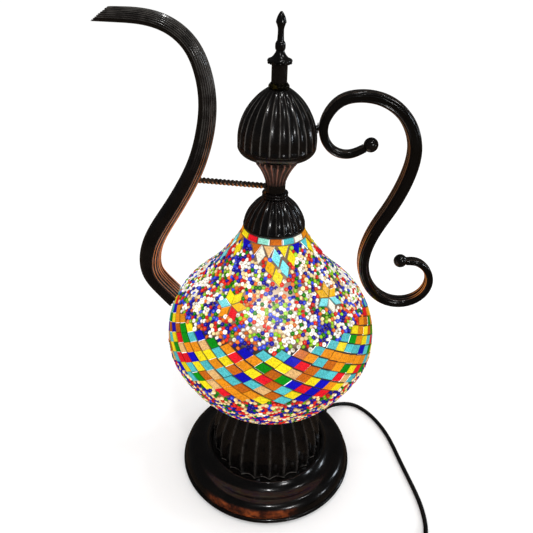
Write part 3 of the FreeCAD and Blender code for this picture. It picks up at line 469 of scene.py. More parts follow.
def fluted(name, node_name, look, flutes, depth, sharp, wall, hole, crest_sheen_and_wear, foot_sheen_and_wear=0.0):
    """A turned shell whose outside is cut by concave flutes, with narrow crests between them.

    depth is a list of (share of the height, flute depth) rows. A low sharp makes the flutes flatter
    and the crests narrower. The inside is plain, wall thick, down to the radius hole. The last two
    arguments say how much the crests and the edge at the foot take a lighter tone, partly wear and
    partly a painted highlight.
    """
    rows, steps = 72, 14
    low, high = span(node_name)
    bottom, top = (low[2] + (high[2] - low[2]) * share for share in (0.001, 0.999))
    path = even(outline(node_name, bottom, top, 160), rows)
    normal = outward(path)
    shares = (path[:, 1] - path[0, 1]) / (path[-1, 1] - path[0, 1])
    cut = np.interp(shares, *np.array(depth).T)
    inside = path - normal * wall
    inside[:, 1] = np.clip(inside[:, 1], path[0, 1], path[-1, 1] - 0.8)
    inside[:, 0] = np.maximum(inside[:, 0], hole)
    section = np.vstack([path, [(hole, path[-1, 1])], inside[::-1]])
    push = np.vstack([normal, np.zeros((len(inside) + 1, 2))])
    cut = np.r_[cut, np.zeros(len(inside) + 1)]
    turn = np.arange(flutes * steps) / (flutes * steps)
    phase = (turn * flutes) % 1.0
    # Slower near the crests, so that they come out as ridges and not as cusps.
    phase = np.where(phase < 0.5, phase**1.25 * 2**0.25, 1 - (1 - phase) ** 1.25 * 2**0.25)
    wave = np.sin(math.pi * phase) ** sharp
    drop = cut[:, None] * wave[None, :]
    radius = section[:, 0:1] - push[:, 0:1] * drop
    height = section[:, 1:2] - push[:, 1:2] * drop
    angle = TURN * (turn + 0.25 / flutes)
    points = np.stack([radius * np.sin(angle), -radius * np.cos(angle), height + 0 * angle], -1)
    mesh = fill_mesh(name, points, grid_faces(len(section), len(turn))[:, ::-1])
    # Crest tone on the ridges and on the foot's edge: wear and a painted highlight.
    crest = np.clip(1 - wave * 3, 0, 1)[None, :] * np.clip(cut / cut.max() * 2, 0, 1)[:, None]
    crest *= crest_sheen_and_wear
    crest[:3] = np.maximum(crest[:3], foot_sheen_and_wear)
    mark_sheen_and_wear(mesh, crest)
    show(name, mesh, look, replaces=(node_name,))


def build_fluted_pieces():
    """The fluted castings: pedestal, lid, cap and neck funnel."""
    fluted(
        "pedestal_fluted", "pedestal_dome", DARK_BRONZE, flutes=24,
        depth=[(0, 2.9), (0.06, 2.5), (0.2, 2.1), (0.5, 1.7), (0.85, 1.0), (0.96, 0.4), (1, 0)],
        sharp=0.8, wall=4.0, hole=6.0, crest_sheen_and_wear=0.3, foot_sheen_and_wear=1.4,
    )
    fluted(
        "lid_ribbed", "lid_dome", DARK_BRONZE, flutes=26,
        depth=[(0, 0), (0.03, 0.1), (0.09, 1.0), (0.5, 0.95), (0.85, 0.6), (0.95, 0.2), (1, 0)],
        sharp=0.7, wall=2.4, hole=3.4, crest_sheen_and_wear=0.9,
    )
    fluted(
        "cap_fluted", "top_cap", DARK_BRONZE, flutes=24,
        depth=[(0, 0), (0.05, 0.05), (0.12, 0.85), (0.6, 0.9), (0.9, 0.5), (1, 0.2)],
        sharp=0.7, wall=2.4, hole=3.4, crest_sheen_and_wear=0.5,
    )
    fluted(
        "funnel_fluted", "neck_funnel", DARK_COPPER, flutes=20,
        depth=[(0, 0.1), (0.2, 0.5), (0.7, 1.2), (0.9, 1.7), (0.97, 1.2), (1, 0.8)],
        sharp=1.1, wall=3.0, hole=3.4, crest_sheen_and_wear=1.0,
    )


# ---- spout, handle and strut ----


def tube(name, points, sharp_degrees):
    """A mesh from rings of points in millimetres, closed flat at both ends."""
    count, sides = points.shape[:2]
    faces = [tuple(face) for face in grid_faces(count, sides)[: (count - 1) * sides]]
    faces += [tuple(range(sides))[::-1], tuple((count - 1) * sides + i for i in range(sides))]
    mesh = bpy.data.meshes.new(name)
    mesh.from_pydata((points.reshape(-1, 3) * MM).tolist(), [], faces)
    mesh.shade_smooth()
    mesh.set_sharp_from_angle(angle=math.radians(sharp_degrees))
    return mesh


def swept(name, path, section, look, replaces, crest, trims=None):
    """A closed dark bronze tube along a path in the XZ plane.

    section(share, angles) gives the half sizes across the path and along Y, and crest(share, angles)
    the crest tone, partly wear and partly a painted highlight. trims(points, shares) may shorten the
    lines of points that run along the tube.
    """
    count, sides = len(path), 144
    angles = np.arange(sides) / sides * TURN
    along = np.gradient(path, axis=0)
    along /= np.linalg.norm(along, axis=1)[:, None]
    across = np.stack([along[:, 1], -along[:, 0]], -1)
    shares = np.linspace(0, 1, count)
    wide, deep = section(shares[:, None], angles[None, :])
    points = np.zeros((count, sides, 3))
    points[..., 0] = path[:, 0:1] + across[:, 0:1] * wide
    points[..., 2] = path[:, 1:2] + across[:, 1:2] * wide
    points[..., 1] = deep
    if trims is not None:
        points = trims(points, shares)
    mesh = tube(name, points, 50)
    mark_sheen_and_wear(mesh, np.broadcast_to(crest(shares[:, None], angles[None, :]), (count, sides)))
    show(name, mesh, look, replaces=replaces)


# Middle lines as (x, height), the same curves as the CAD spout and handle are swept along.
SPOUT_LINE = [
    (-73, 174), (-86.5, 190), (-94.8, 203), (-95.6, 218), (-90, 234.6), (-77.7, 255),
    (-65.9, 274.6), (-56.8, 293.2), (-50.4, 314), (-47.7, 335.6), (-50.6, 357.5), (-57.8, 373),
    (-70, 383.4), (-86, 388.4), (-104, 389.3), (-126, 389.4),
]
MOUTH = np.array([-113.0, 389.2])
MOUTH_SLANT = math.radians(54)
HANDLE_LINE = [
    (61.5, 308.4), (50.3, 303.7), (40.5, 305.7), (33.8, 312.6), (31.5, 322), (34.4, 332),
    (42, 340.4), (54.2, 343.8), (69.8, 341.8), (82.7, 334.5), (92, 322.5), (96.3, 308),
    (95.3, 293.1), (91.1, 277.9), (85.5, 264.2), (78.3, 249.8), (72.5, 234.6), (70.4, 218.8),
    (73.9, 203), (83, 189.6), (97, 182), (111, 182.8), (121.3, 190.8), (124.4, 203),
    (119.6, 213.6), (111, 218.8), (104, 218.9),
]


def signed(angles):
    """Angles folded to lie between minus and plus half a turn."""
    return (angles + math.pi) % TURN - math.pi


def raised(angles, places, width):
    """Thin raised lines at places given in degrees on both sides of the middle line."""
    turn = np.degrees(np.abs(signed(angles)))
    return sum(np.exp(-(((turn - place) / width) ** 2)) for place in places)


def build_spout():
    """A tapering tube with raised lines along its inner side, and finer ones beside them higher up."""
    foot, waist, mouth, waist_at = 9.2, 6.6, 4.3, 0.55
    lines, line_height, line_width = (12, 26, 40, 54, 68), 0.4, 2.6
    upper_lines, upper_height = (82, 96, 110), 0.3
    band_edge, band_depth, glass_gap = 73, 0.45, 1.2

    def fade_in(share):
        """The lines on the front and back are drawn only on the upper half."""
        return np.clip((share - 0.45) / 0.15, 0, 1)

    def section(share, angles):
        slim = foot + (waist - foot) * np.sin(np.clip(share / waist_at, 0, 1) * math.pi / 2) ** 1.5
        upper = waist + (mouth - waist) * (share - waist_at) / (1 - waist_at)
        radius = np.where(share < waist_at, slim, upper)
        band = np.degrees(np.abs(signed(angles))) < band_edge
        radius = radius - band_depth * band + line_height * raised(angles, lines, line_width)
        radius = radius + upper_height * raised(angles, upper_lines, line_width) * fade_in(share)
        return radius * np.cos(angles), radius * np.sin(angles)

    def trims(points, shares):
        """End each line at the globe's clearance below and at the slanted mouth above."""
        out = np.empty_like(points)
        for side in range(points.shape[1]):
            line = points[:, side]
            globe = np.interp(line[:, 2], GLOBE.height[::-1], GLOBE.radius[::-1], left=0, right=0)
            clear = np.hypot(line[:, 0], line[:, 1]) - globe - glass_gap
            blocked = np.nonzero((clear < 0) & (shares < 0.4))[0]
            first = blocked[-1] + 1 if len(blocked) else 0
            along = (line[:, 0] - MOUTH[0]) * math.cos(MOUTH_SLANT)
            along = along - (line[:, 2] - MOUTH[1]) * math.sin(MOUTH_SLANT)
            beyond = np.nonzero((along < 0) & (shares > 0.6))[0]
            last = beyond[0] if len(beyond) else len(line) - 1
            out[:, side] = even(line[first : last + 1], len(line))
        return out

    # The raised lines take the crest tone, partly wear and partly a painted highlight, and facing the
    # globe its painted warm reflection.
    def crest(share, angles):
        upper = 0.45 * raised(angles, upper_lines, 3.4) * fade_in(share)
        return np.clip(raised(angles, lines, line_width) + upper, 0, 1)

    path = spline(SPOUT_LINE, 230)
    swept("spout_reeded", path, section, DARK_BRONZE, ("spout",), crest, trims)


def build_handle():
    """A rounded square bar, thickest at half its length, with raised lines and grooves along it."""
    end_thick, more_thick, end_deep, more_deep = 5.0, 4.6, 6.5, 5.0
    lines, grooves, sheen_and_wear = (20, 40, 60, 120, 140, 160), (52, 68, 112, 128), (20, 40, 140, 160)
    line_height, groove_depth = 0.035, 0.045

    def section(share, angles):
        swell = np.sin(math.pi * share)
        thick = end_thick + swell**1.3 * more_thick
        deep = end_deep + swell**0.6 * more_deep
        cos, sin = np.cos(angles), np.sin(angles)
        square = (np.abs(cos) ** 4 + np.abs(sin) ** 4) ** -0.25
        relief = 1 + line_height * raised(angles, lines, 3)
        relief = relief - groove_depth * raised(angles, grooves, 4.5)
        return cos * square * thick / 2 * relief, sin * square * deep / 2 * relief

    # The edge lines take the crest tone, partly wear and partly a painted highlight, and facing the
    # globe its painted warm reflection.
    def crest(share, angles):
        return np.clip(raised(angles, sheen_and_wear, 3.5), 0, 1) + 0 * share

    path = spline(HANDLE_LINE, 260)
    swept("handle_scroll", path, section, BLACK_BRONZE, ("handle_bar",), crest)


def build_strut():
    """A square bar twisted along its length, from the spout's wall down to the neck."""
    low, high = span("spout_strut")
    count, turns, half_diagonal = 281, 4, 2.3
    start_height, fall, straight_end = 281.2, 3.1, 0.04
    share = np.linspace(0, 1, count)
    twist = TURN * turns * np.clip((share - straight_end) / (1 - 2 * straight_end), 0, 1)
    points = []
    for place, turned in zip(share, twist):
        x = low[0] + (high[0] - low[0]) * place
        height = start_height - fall * place
        for corner in range(4):
            turn = math.radians(45 + 90 * corner) + turned
            points.append((x, math.cos(turn) * half_diagonal, height + math.sin(turn) * half_diagonal))
    mesh = tube("strut_twisted", np.array(points).reshape(count, 4, 3), 40)
    # The whole bar takes half the crest tone: wear and a painted silvery highlight, with the globe's
    # painted reflection where it faces it.
    mark_sheen_and_wear(mesh, np.full(len(points), 0.5))
    show("strut_twisted", mesh, BLACK_BRONZE, replaces=("spout_strut",))


def spun(profile, segments, pole):
    """Points and triangles of a (radius, height) profile spun about Z, closed to a pole at each end."""
    turn = np.arange(segments) * TURN / segments
    radius, height = profile[:, 0:1], profile[:, 1:2]
    rings = np.stack([radius * np.cos(turn), radius * np.sin(turn), height + 0 * turn], -1)
    points = np.vstack([[(0, 0, pole)], rings.reshape(-1, 3), [(0, 0, -pole)]])
    faces = []
    for step in range(segments):
        after = (step + 1) % segments
        faces.append((0, 1 + step, 1 + after))
        for ring in range(len(profile) - 1):
            a, b = 1 + ring * segments, 1 + (ring + 1) * segments
            faces += [(a + step, b + step, b + after), (a + step, b + after, a + after)]
        last = 1 + (len(profile) - 1) * segments
        faces.append((last + step, len(points) - 1, last + after))
    return points, np.array(faces)


def ball(segments=14, rings=8):
    """Points and triangles of a unit ball."""
    tilt = math.pi * np.arange(1, rings) / rings
    return spun(np.stack([np.sin(tilt), np.cos(tilt)], -1), segments, 1.0)


def copies(points, faces, matrices, places):
    """A shape repeated with its own turn and place each time."""
    moved = np.einsum("nij,vj->nvi", matrices, points) + places[:, None, :]
    offsets = np.arange(len(places))[:, None, None] * len(points)
    return moved.reshape(-1, 3), (faces[None] + offsets).reshape(-1, 3)


def build_flange_beads():
    """A ring of small cast beads under the finial's flange."""
    low, high = span("finial_flange")
    count, radius, inset = 14, 0.95, 1.0
    turn = np.arange(count) * TURN / count
    reach, height = high[0] - inset, low[2] + radius
    places = np.stack([reach * np.sin(turn), -reach * np.cos(turn), height + 0 * turn], -1)
    points, faces = copies(*ball(), np.tile(np.eye(3) * radius, (count, 1, 1)), places)
    mesh = fill_mesh("flange_beads", points, faces)
    show("flange_beads", mesh, DARK_BRONZE, body="finial")


# ---- mosaic ----


# How far the mosaic goes on above distance 0, towards the cap.
RING_LIP = 1.0


class Globe:
    """The outside of the mosaic layer, measured from the CAD: distance from the neck and azimuth."""

    def __init__(self):
        low, high = span("mosaic_layer")
        skip = 0.05
        path = even(outline("mosaic_layer", high[2] - skip, low[2] + skip, 500), 400)
        smooth = path.copy()
        for _ in range(3):
            smooth[1:-1] = (smooth[:-2] + 2 * smooth[1:-1] + smooth[2:]) / 4
        self.radius, self.height = smooth.T
        self.gone = np.r_[0, np.cumsum(np.linalg.norm(np.diff(smooth, axis=0), axis=1))] - RING_LIP
        self.down = np.gradient(smooth, axis=0)
        self.down /= np.linalg.norm(self.down, axis=1)[:, None]
        self.length = self.gone[-1]

    def at(self, distance, azimuth, out=0.0):
        """Points at distances and azimuths in degrees, a height out from the surface."""
        radius, height = (np.interp(distance, self.gone, v) for v in (self.radius, self.height))
        fall_r, fall_z = (np.interp(distance, self.gone, v) for v in self.down.T)
        radius = radius - fall_z * out
        height = height + fall_r * out
        turn = np.radians(azimuth)
        return np.stack([radius * np.sin(turn), -radius * np.cos(turn), height + 0 * turn], -1)

    def axes(self, distance, azimuth):
        """Rows of right, down and outward directions at each place."""
        fall_r, fall_z = (np.interp(distance, self.gone, v) for v in self.down.T)
        turn = np.radians(azimuth)
        right = np.stack([np.cos(turn), np.sin(turn), 0 * turn], -1)
        down = np.stack([fall_r * np.sin(turn), -fall_r * np.cos(turn), fall_z], -1)
        return right, down, np.cross(down, right)

    def width(self, distance):
        """Millimetres round the globe for each degree of azimuth."""
        return np.interp(distance, self.gone, self.radius) * TURN / 360


GLOBE = Globe()
rng = np.random.default_rng(7)

# Tile colours: aqua, blue, clear aqua, deep yellow, green, cream, mint, nut, orange, peach, red, yellow.
TINTS = {
    "A": srgb(88, 200, 206),
    "B": srgb(16, 12, 190),
    "C": srgb(132, 232, 238),
    "D": srgb(250, 186, 14),
    "G": srgb(12, 150, 22),
    "K": srgb(255, 250, 230),
    "M": srgb(150, 226, 205),
    "N": srgb(204, 104, 20),
    "O": srgb(247, 152, 24),
    "P": srgb(243, 192, 124),
    "R": srgb(238, 24, 40),
    "Y": srgb(255, 230, 26),
}
# Heights out from the mosaic's surface: a tile's face and foot, and the resin's face and foot.
TILE_TOP, TILE_FOOT = -0.3, -2.0
BED_TOP, BED_FOOT = -1.15, -2.1
BEVEL_WIDE, BEVEL_DEEP = 0.4, 0.32
# Which of a tile's bevels leaks light: 1 is the lower right one of a diamond, 9 is none.
LIT_BEVELS = [1, 1, 1, 2, 3, 9, 9, 9]
LEAK = np.array((1.0, 0.98, 0.94)) * 1.5


class Tiles:
    """Collects cut glass tiles for one mesh, and the outlines that beads keep clear of."""

    def __init__(self):
        self.points, self.faces, self.tints, self.outlines = [], [], [], []

    def add(self, corners, letter):
        """One tile from its corners as (distance, azimuth), clockwise as seen from outside."""
        corners = np.array(corners, float)
        scale = np.array([1.0, GLOBE.width(corners[:, 0].mean())])
        middle = corners.mean(0)
        flat = (corners - middle) * scale
        size = np.linalg.norm(flat, axis=1).mean()
        inner = middle + flat * (1 - BEVEL_WIDE / size) / scale
        start, count = len(self.points), len(corners)
        lift = rng.normal(0, 0.042, count)
        rings = [
            GLOBE.at(corners[:, 0], corners[:, 1], TILE_FOOT),
            GLOBE.at(corners[:, 0], corners[:, 1], TILE_TOP - BEVEL_DEEP + lift),
            GLOBE.at(inner[:, 0], inner[:, 1], TILE_TOP + lift),
        ]
        self.points += [tuple(p) for ring in rings for p in ring]
        base = np.array(TINTS[letter][:3]) * rng.uniform(0.86, 1.1)
        self.faces.append(tuple(start + 2 * count + i for i in range(count)))
        self.tints.append(base)
        bright = rng.choice(LIT_BEVELS)
        # The sides and bevels glow at 0.38 of the tint, a painted shade, except the one bevel that leaks
        # light.
        for ring in range(2):
            for i in range(count):
                after = (i + 1) % count
                low, high = start + ring * count, start + (ring + 1) * count
                self.faces.append((low + i, low + after, high + after, high + i))
                self.tints.append(LEAK if ring == 1 and i == bright else base * 0.38)
        self.faces.append(tuple(start + i for i in range(count))[::-1])
        self.tints.append(base)
        self.outlines.append(corners)

    def show(self, name):
        """Make the tiles one piece, with a tint for each face."""
        mesh = bpy.data.meshes.new(name)
        mesh.from_pydata((np.array(self.points) * MM).tolist(), [], self.faces)
        mark_tint(mesh, "FACE", np.array(self.tints))
        show(name, mesh, TILE_GLASS)


def diamond(distance, azimuth, turn, length, breadth):
    """Corners of a hand-cut diamond whose long diagonal points down, turned by some degrees."""
    angle = math.radians(turn)
    down = np.array((math.cos(angle), math.sin(angle))) * length / 2
    side = np.array((-math.sin(angle), math.cos(angle))) * breadth / 2
    width = float(GLOBE.width(distance))
    corners = []
    for step in (-down, side, down, -side):
        step = step + rng.normal(0, 0.16, 2)
        corners.append((distance + step[0], azimuth + step[1] / width))
    return corners


# The belt of diamonds: nine staggered rows, from the top. A row's letters start BELT_BEFORE tiles
# before its middle azimuth and cover the front, and the tiles behind draw from BELT_MIX.
BELT_TOP, BELT_STEP = 82.3, 4.4
BELT_COUNT, BELT_BEFORE = 36, 10
BELT_MIDDLES = (6.4, 1.4)
BELT_MIX = list("AAABGNNOOOPRRYYY")
BELT_ROWS = [
    "AROOYBGOBAANAAAYOR",
    "GYBOGAPAROYBOOYGONOB",
    "BAYNGOYYOGYRAOAOYG",
    "OYGBROYONYNPNNOAYNO",
    "RANYPBAABRGNAOOBAG",
    "YOBAGRYPAANBYAGOARYP",
    "AGPYRANONPARBRYOGAN",
    "OBRNAYGPOONYBOPRAYB",
    "ONGPBAYROYABRYAGPON",
]


def build_belt():
    """Leaning diamonds round the belly, each a little off its place."""
    belt = Tiles()
    pitch = 360 / BELT_COUNT
    half, lean, tall = 4.8, 0.6, 4.24
    shape = np.array([(-tall, -lean), (0, half), (tall, lean), (0, -half)])
    for row, letters in enumerate(BELT_ROWS):
        spare = rng.choice(BELT_MIX, BELT_COUNT)
        for place in range(BELT_COUNT):
            letter = letters[place] if place < len(letters) else spare[place]
            azimuth = BELT_MIDDLES[row % 2] + pitch * (place - BELT_BEFORE)
            middle = np.array((BELT_TOP + BELT_STEP * row, azimuth)) + rng.normal(0, 0.12, 2)
            belt.add(middle + shape + rng.normal(0, 0.1, (4, 2)), letter)
    belt.show("belt_tiles")
    return belt.outlines


def build_neck_tiles():
    """A ring of tiles under the cap, and four points of triangles and diamonds hanging from it."""
    neck = Tiles()
    ring = "NAKOYRAGOAYBOYRM"
    pitch, middle = 360 / len(ring), 4.1
    top, foot, half_top, half_foot = -0.9, 3.4, 10.7, 10.6
    shape = np.array([(top, -half_top), (top, half_top), (foot, half_foot), (foot, -half_foot)])
    for place, letter in enumerate(ring):
        neck.add(shape + (0, middle + pitch * place), letter)
    wedge = np.array([(4.0, -9.6), (4.0, 9.6), (12.2, 0.8)])
    triangles = ["NPYB", "AOYB", "BRPA", "YNOB"]
    upper = ["KCY", "YYO", "CKR", "OCY"]
    lower = ["DC", "RY", "YC", "OR"]
    tips = "YROC"
    long, wide = 14.0, 7.7
    for group in range(4):
        centre = 4.5 + 90 * group
        for place, letter in enumerate(triangles[group]):
            azimuth = centre + pitch * (place - 1.5) + rng.normal(0, 0.6)
            neck.add(wedge + (0, azimuth), letter)
        for place, letter in enumerate(upper[group]):
            azimuth = centre - 0.8 + 23.4 * (place - 1) + rng.normal(0, 0.6)
            distance, turn = 12.0 + 1.3 * (place - 1), (0, 10, 2)[place]
            neck.add(diamond(distance, azimuth, turn, long, wide - 0.1), letter)
        for place, letter in enumerate(lower[group]):
            azimuth = centre + 0.8 + 18.2 * (place - 0.5)
            distance, turn = 19.8 + 0.8 * (place - 0.5), (18, 9)[place]
            neck.add(diamond(distance, azimuth, turn, long, wide + 0.1), letter)
        neck.add(diamond(26.4, centre + 0.8, 9, 14.4, 8.4), tips[group])
    neck.show("neck_tiles")
    return neck.outlines


def build_flowers():
    """Six diamonds round a point, four times round the shoulder, and small motifs near the foot."""
    flowers = Tiles()
    # Each flower: azimuth, distance and twist of its middle, and the letters of its petals.
    spots = [
        (-32.6, 51.9, -36, "YYDROC"),
        (51.3, 50.6, 20, "DDCKCD"),
        (144, 52, 0, "RYCRYC"),
        (229, 51.5, 15, "BOKYRK"),
    ]
    reach, petal_long, petal_wide = 6.7, 12.6, 7.4
    for azimuth, distance, twist, letters in spots:
        for place, letter in enumerate(letters):
            turn = twist + 60 * place
            step = math.radians(turn)
            away = -reach * math.cos(step)
            sideways = reach * math.sin(step) / float(GLOBE.width(distance))
            petal = diamond(distance + away, azimuth + sideways, -turn, petal_long, petal_wide)
            flowers.add(petal, letter)
    foot, small_long, small_wide = GLOBE.length - 26, 8.5, 6
    for group in range(4):
        azimuth = -48 + 90 * group
        for place, letter in enumerate("YRO"):
            distance = foot + 2.0 * (place % 2)
            flowers.add(diamond(distance, azimuth + 8 * (place - 1), 10, small_long, small_wide), letter)
    flowers.show("flower_tiles")
    return flowers.outlines


def spread(low, high, spacing):
    """Places spread over the globe between two distances from the neck, settled evenly apart."""
    # cell is the room that one place takes when all are evenly apart, in spacings squared.
    rounds, cell, shove_share = 22, 0.866, 0.32
    reach = spacing * 1.08
    steps = np.linspace(low, high, 400)
    weight = np.cumsum(GLOBE.width(steps))
    area = GLOBE.width(steps).mean() * 360 * (high - low)
    count = int(area / (spacing**2 * cell))
    distance = np.interp(rng.uniform(weight[0], weight[-1], count), weight, steps)
    azimuth = rng.uniform(-180, 180, count)
    for _ in range(rounds):
        places = GLOBE.at(distance, azimuth)
        tree = KDTree(count)
        for i, spot in enumerate(places):
            tree.insert(spot, i)
        tree.balance()
        first, second = [], []
        for i, spot in enumerate(places):
            for _, j, _ in tree.find_range(spot, reach):
                if j != i:
                    first.append(i)
                    second.append(j)
        first, second = np.array(first), np.array(second)
        apart = places[first] - places[second]
        gap = np.maximum(np.linalg.norm(apart, axis=1), 1e-6)
        shove = apart / gap[:, None] * (reach - gap)[:, None] * shove_share
        move = np.zeros_like(places)
        np.add.at(move, first, shove)
        right, down, _ = GLOBE.axes(distance, azimuth)
        distance = np.clip(distance + (move * down).sum(1), low, high)
        azimuth = azimuth + (move * right).sum(1) / GLOBE.width(distance)
    return distance, azimuth


def outside_tiles(distance, azimuth, outlines, margin):
    """Which places lie clear of every tile's outline by a margin. No tile is larger than farthest."""
    farthest = 14
    clear = np.ones(len(distance), bool)
    for corners in outlines:
        width = float(GLOBE.width(corners[:, 0].mean()))
        middle = corners.mean(0)
        turn = (azimuth - middle[1] + 180) % 360 - 180
        spot = np.stack([distance - middle[0], turn * width], -1)
        near = np.abs(spot).max(1) < farthest
        flat = (corners - middle) * (1.0, width)
        inside = np.ones(near.sum(), bool)
        for start, end in zip(flat, np.roll(flat, -1, axis=0)):
            edge = end - start
            normal = np.array((-edge[1], edge[0])) / np.linalg.norm(edge)
            if normal @ start < 0:
                normal = -normal
            inside &= (spot[near] - start) @ normal < margin
        clear[np.nonzero(near)[0][inside]] = False
    return clear


BEAD_RADIUS, BEAD_HALF = 1.8, 1.2
BEAD_SPACING, BEAD_MARGIN = 3.08, 0.5
# How much of a bead's height is left where it is pressed into the resin, and how far it stands proud.
FLATTEN, PROUD = 0.82, 0.15
# Where the white beads gather at the front, and how many times more there are in such a patch.
PATCH_AZIMUTH, PATCH_DISTANCE, PATCH_REACH, PATCH_GAIN = 4.0, 60.0, 15.0, 2.5


def bead_shape(segments=10):
    """A seed bead: a short round ring with a dimple where the cord hole is filled with resin."""
    upper = np.array([(0.5, 0.55), (0.8, 1.1), (1.3, BEAD_HALF), (BEAD_RADIUS, 0.65)])
    points, faces = spun(np.vstack([upper, upper[::-1] * (1, -1)]), segments, 0.3)
    core = np.zeros(len(points))
    core[0] = core[-1] = 1
    core[1 : 1 + segments] = core[-1 - segments : -1] = 0.35
    return points, faces, core


# Each colour of bead: its face, its rim (a darker painted shade low on the bead), the heart of its hole
# (a painted pale glow through it), and its share above and below the belt.
ABOVE, BELOW = 3, 4
BEADS = {
    "white": (srgb(255, 254, 248), srgb(170, 146, 100), srgb(222, 190, 130), 0.27, 0.02),
    "cream": (srgb(252, 228, 164), srgb(170, 100, 34), srgb(255, 246, 220), 0.09, 0.28),
    "cobalt": (srgb(56, 74, 220), srgb(16, 8, 96), srgb(176, 196, 255), 0.13, 0.05),
    "navy": (srgb(30, 18, 150), srgb(8, 4, 50), srgb(96, 104, 226), 0.14, 0.31),
    "red": (srgb(226, 38, 28), srgb(96, 6, 6), srgb(255, 150, 110), 0.14, 0.21),
    "lime": (srgb(150, 206, 30), srgb(34, 74, 4), srgb(236, 246, 150), 0.08, 0.02),
    "green": (srgb(22, 122, 18), srgb(4, 38, 4), srgb(128, 196, 70), 0.08, 0.10),
    "orange": (srgb(240, 118, 44), srgb(150, 26, 6), srgb(255, 214, 130), 0.06, 0.01),
}


def drift(places, seed):
    """A slow wave over the globe, about -1 to 1, so that each colour gathers in loose patches."""
    waves = np.random.default_rng(seed)
    total = np.zeros(len(places))
    for _ in range(5):
        heading = waves.normal(0, 1, 3)
        heading *= TURN / waves.uniform(9, 20) / np.linalg.norm(heading)
        total += np.sin(places @ heading + waves.uniform(0, TURN))
    return total / 2.2


def pale_patches(distance, azimuth):
    """Where the white beads gather: four loose patches between the flowers, fading outwards."""
    turn = (azimuth - PATCH_AZIMUTH + 45) % 90 - 45
    gap = np.hypot(distance - PATCH_DISTANCE, turn * GLOBE.width(distance))
    return np.exp(-((gap / PATCH_REACH) ** 2))


def build_beads(name, low, high, outlines, column):
    """The beads between two distances from the neck, as one piece for each colour.

    column is the one of BEADS that holds the colours' shares. Half of the beads lie on their side.
    """
    distance, azimuth = spread(low, high, BEAD_SPACING)
    clear = outside_tiles(distance, azimuth, outlines, BEAD_MARGIN)
    distance, azimuth = distance[clear], azimuth[clear]
    count = len(distance)
    grow = rng.uniform(0.84, 1.04, count)
    lying = rng.random(count) < 0.5
    # How far the hole leans from straight out.
    lean = np.where(lying, rng.uniform(65, 90, count), np.abs(rng.normal(0, 17, count)))
    lean, spin = np.radians(lean), rng.uniform(0, TURN, count)
    right, down, out = GLOBE.axes(distance, azimuth)
    side = right * np.cos(spin)[:, None] + down * np.sin(spin)[:, None]
    hole = out * np.cos(lean)[:, None] + side * np.sin(lean)[:, None]
    first = np.cross(hole, out * np.sin(lean)[:, None] - side * np.cos(lean)[:, None])
    first /= np.linalg.norm(first, axis=1)[:, None]
    matrices = np.stack([first, np.cross(hole, first), hole], -1) * grow[:, None, None]
    flatten = np.eye(3) - (1 - FLATTEN) * out[:, :, None] * out[:, None, :]
    matrices = flatten @ matrices
    tall = (BEAD_HALF * np.cos(lean) + BEAD_RADIUS * np.sin(lean)) * grow * FLATTEN
    places = GLOBE.at(distance, azimuth, PROUD - tall)
    names = list(BEADS)
    chance = np.stack(
        [BEADS[n][column] * np.exp(0.6 * drift(places, 11 + i)) for i, n in enumerate(names)], 1
    )
    chance[:, names.index("white")] *= 1 + PATCH_GAIN * pale_patches(distance, azimuth)
    chance = np.cumsum(chance / chance.sum(1)[:, None], 1)
    pick = (rng.random(count)[:, None] > chance).sum(1)
    shape, triangles, core = bead_shape()
    # Each point's height over the bead's middle, 1 at its top. The rim's colour, a painted shade towards
    # the resin, starts below 0.8.
    up = np.einsum("nij,vj,ni->nv", matrices, shape, out) / tall[:, None]
    rim = np.clip((0.8 - up) / 0.55, 0, 1)[..., None]
    for index, colour in enumerate(names):
        mine = np.nonzero(pick == index)[0]
        if not len(mine):
            continue
        points, faces = copies(shape, triangles, matrices[mine], places[mine])
        mesh = fill_mesh(f"{name}_{colour}", points, faces)
        face, edge, heart = (np.array(tone[:3]) for tone in BEADS[colour][:3])
        # Painted shade low on each bead, and a painted pale glow in its hole.
        shade = face * (1 - rim[mine]) + edge * rim[mine]
        shade = shade * rng.uniform(0.75, 1.3, (len(mine), 1, 1))
        mark_tint(mesh, "POINT", shade * (1 - core[None, :, None]) + heart * core[None, :, None])
        show(f"{name}_{colour}", mesh, BEAD_GLASS)


def build_bed():
    """The sheet of resin and grout that tiles and beads sit in."""
    rings, columns = 120, 160
    steps = np.linspace(-RING_LIP, GLOBE.length, rings)
    turn = np.arange(columns) * 360 / columns
    rows = [GLOBE.at(s, turn, BED_TOP) for s in steps]
    rows += [GLOBE.at(s, turn, BED_FOOT) for s in steps[::-1]]
    mesh = fill_mesh("grout_bed", np.array(rows), grid_faces(len(rows), len(turn)))
    show("grout_bed", mesh, GROUT, replaces=("mosaic_layer",))


def build_mosaic():
    """The bed, the tiles and, last because they keep clear of the tiles, the beads."""
    build_bed()
    outlines = build_belt()
    outlines += build_neck_tiles()
    outlines += build_flowers()
    belt_low = BELT_TOP + BELT_STEP * (len(BELT_ROWS) - 1)
    build_beads("beads_upper", 3.9, BELT_TOP + 1.0, outlines, ABOVE)
    build_beads("beads_lower", belt_low - 1.0, GLOBE.length - 0.9, outlines, BELOW)


# ---- CAD nodes that stay ----

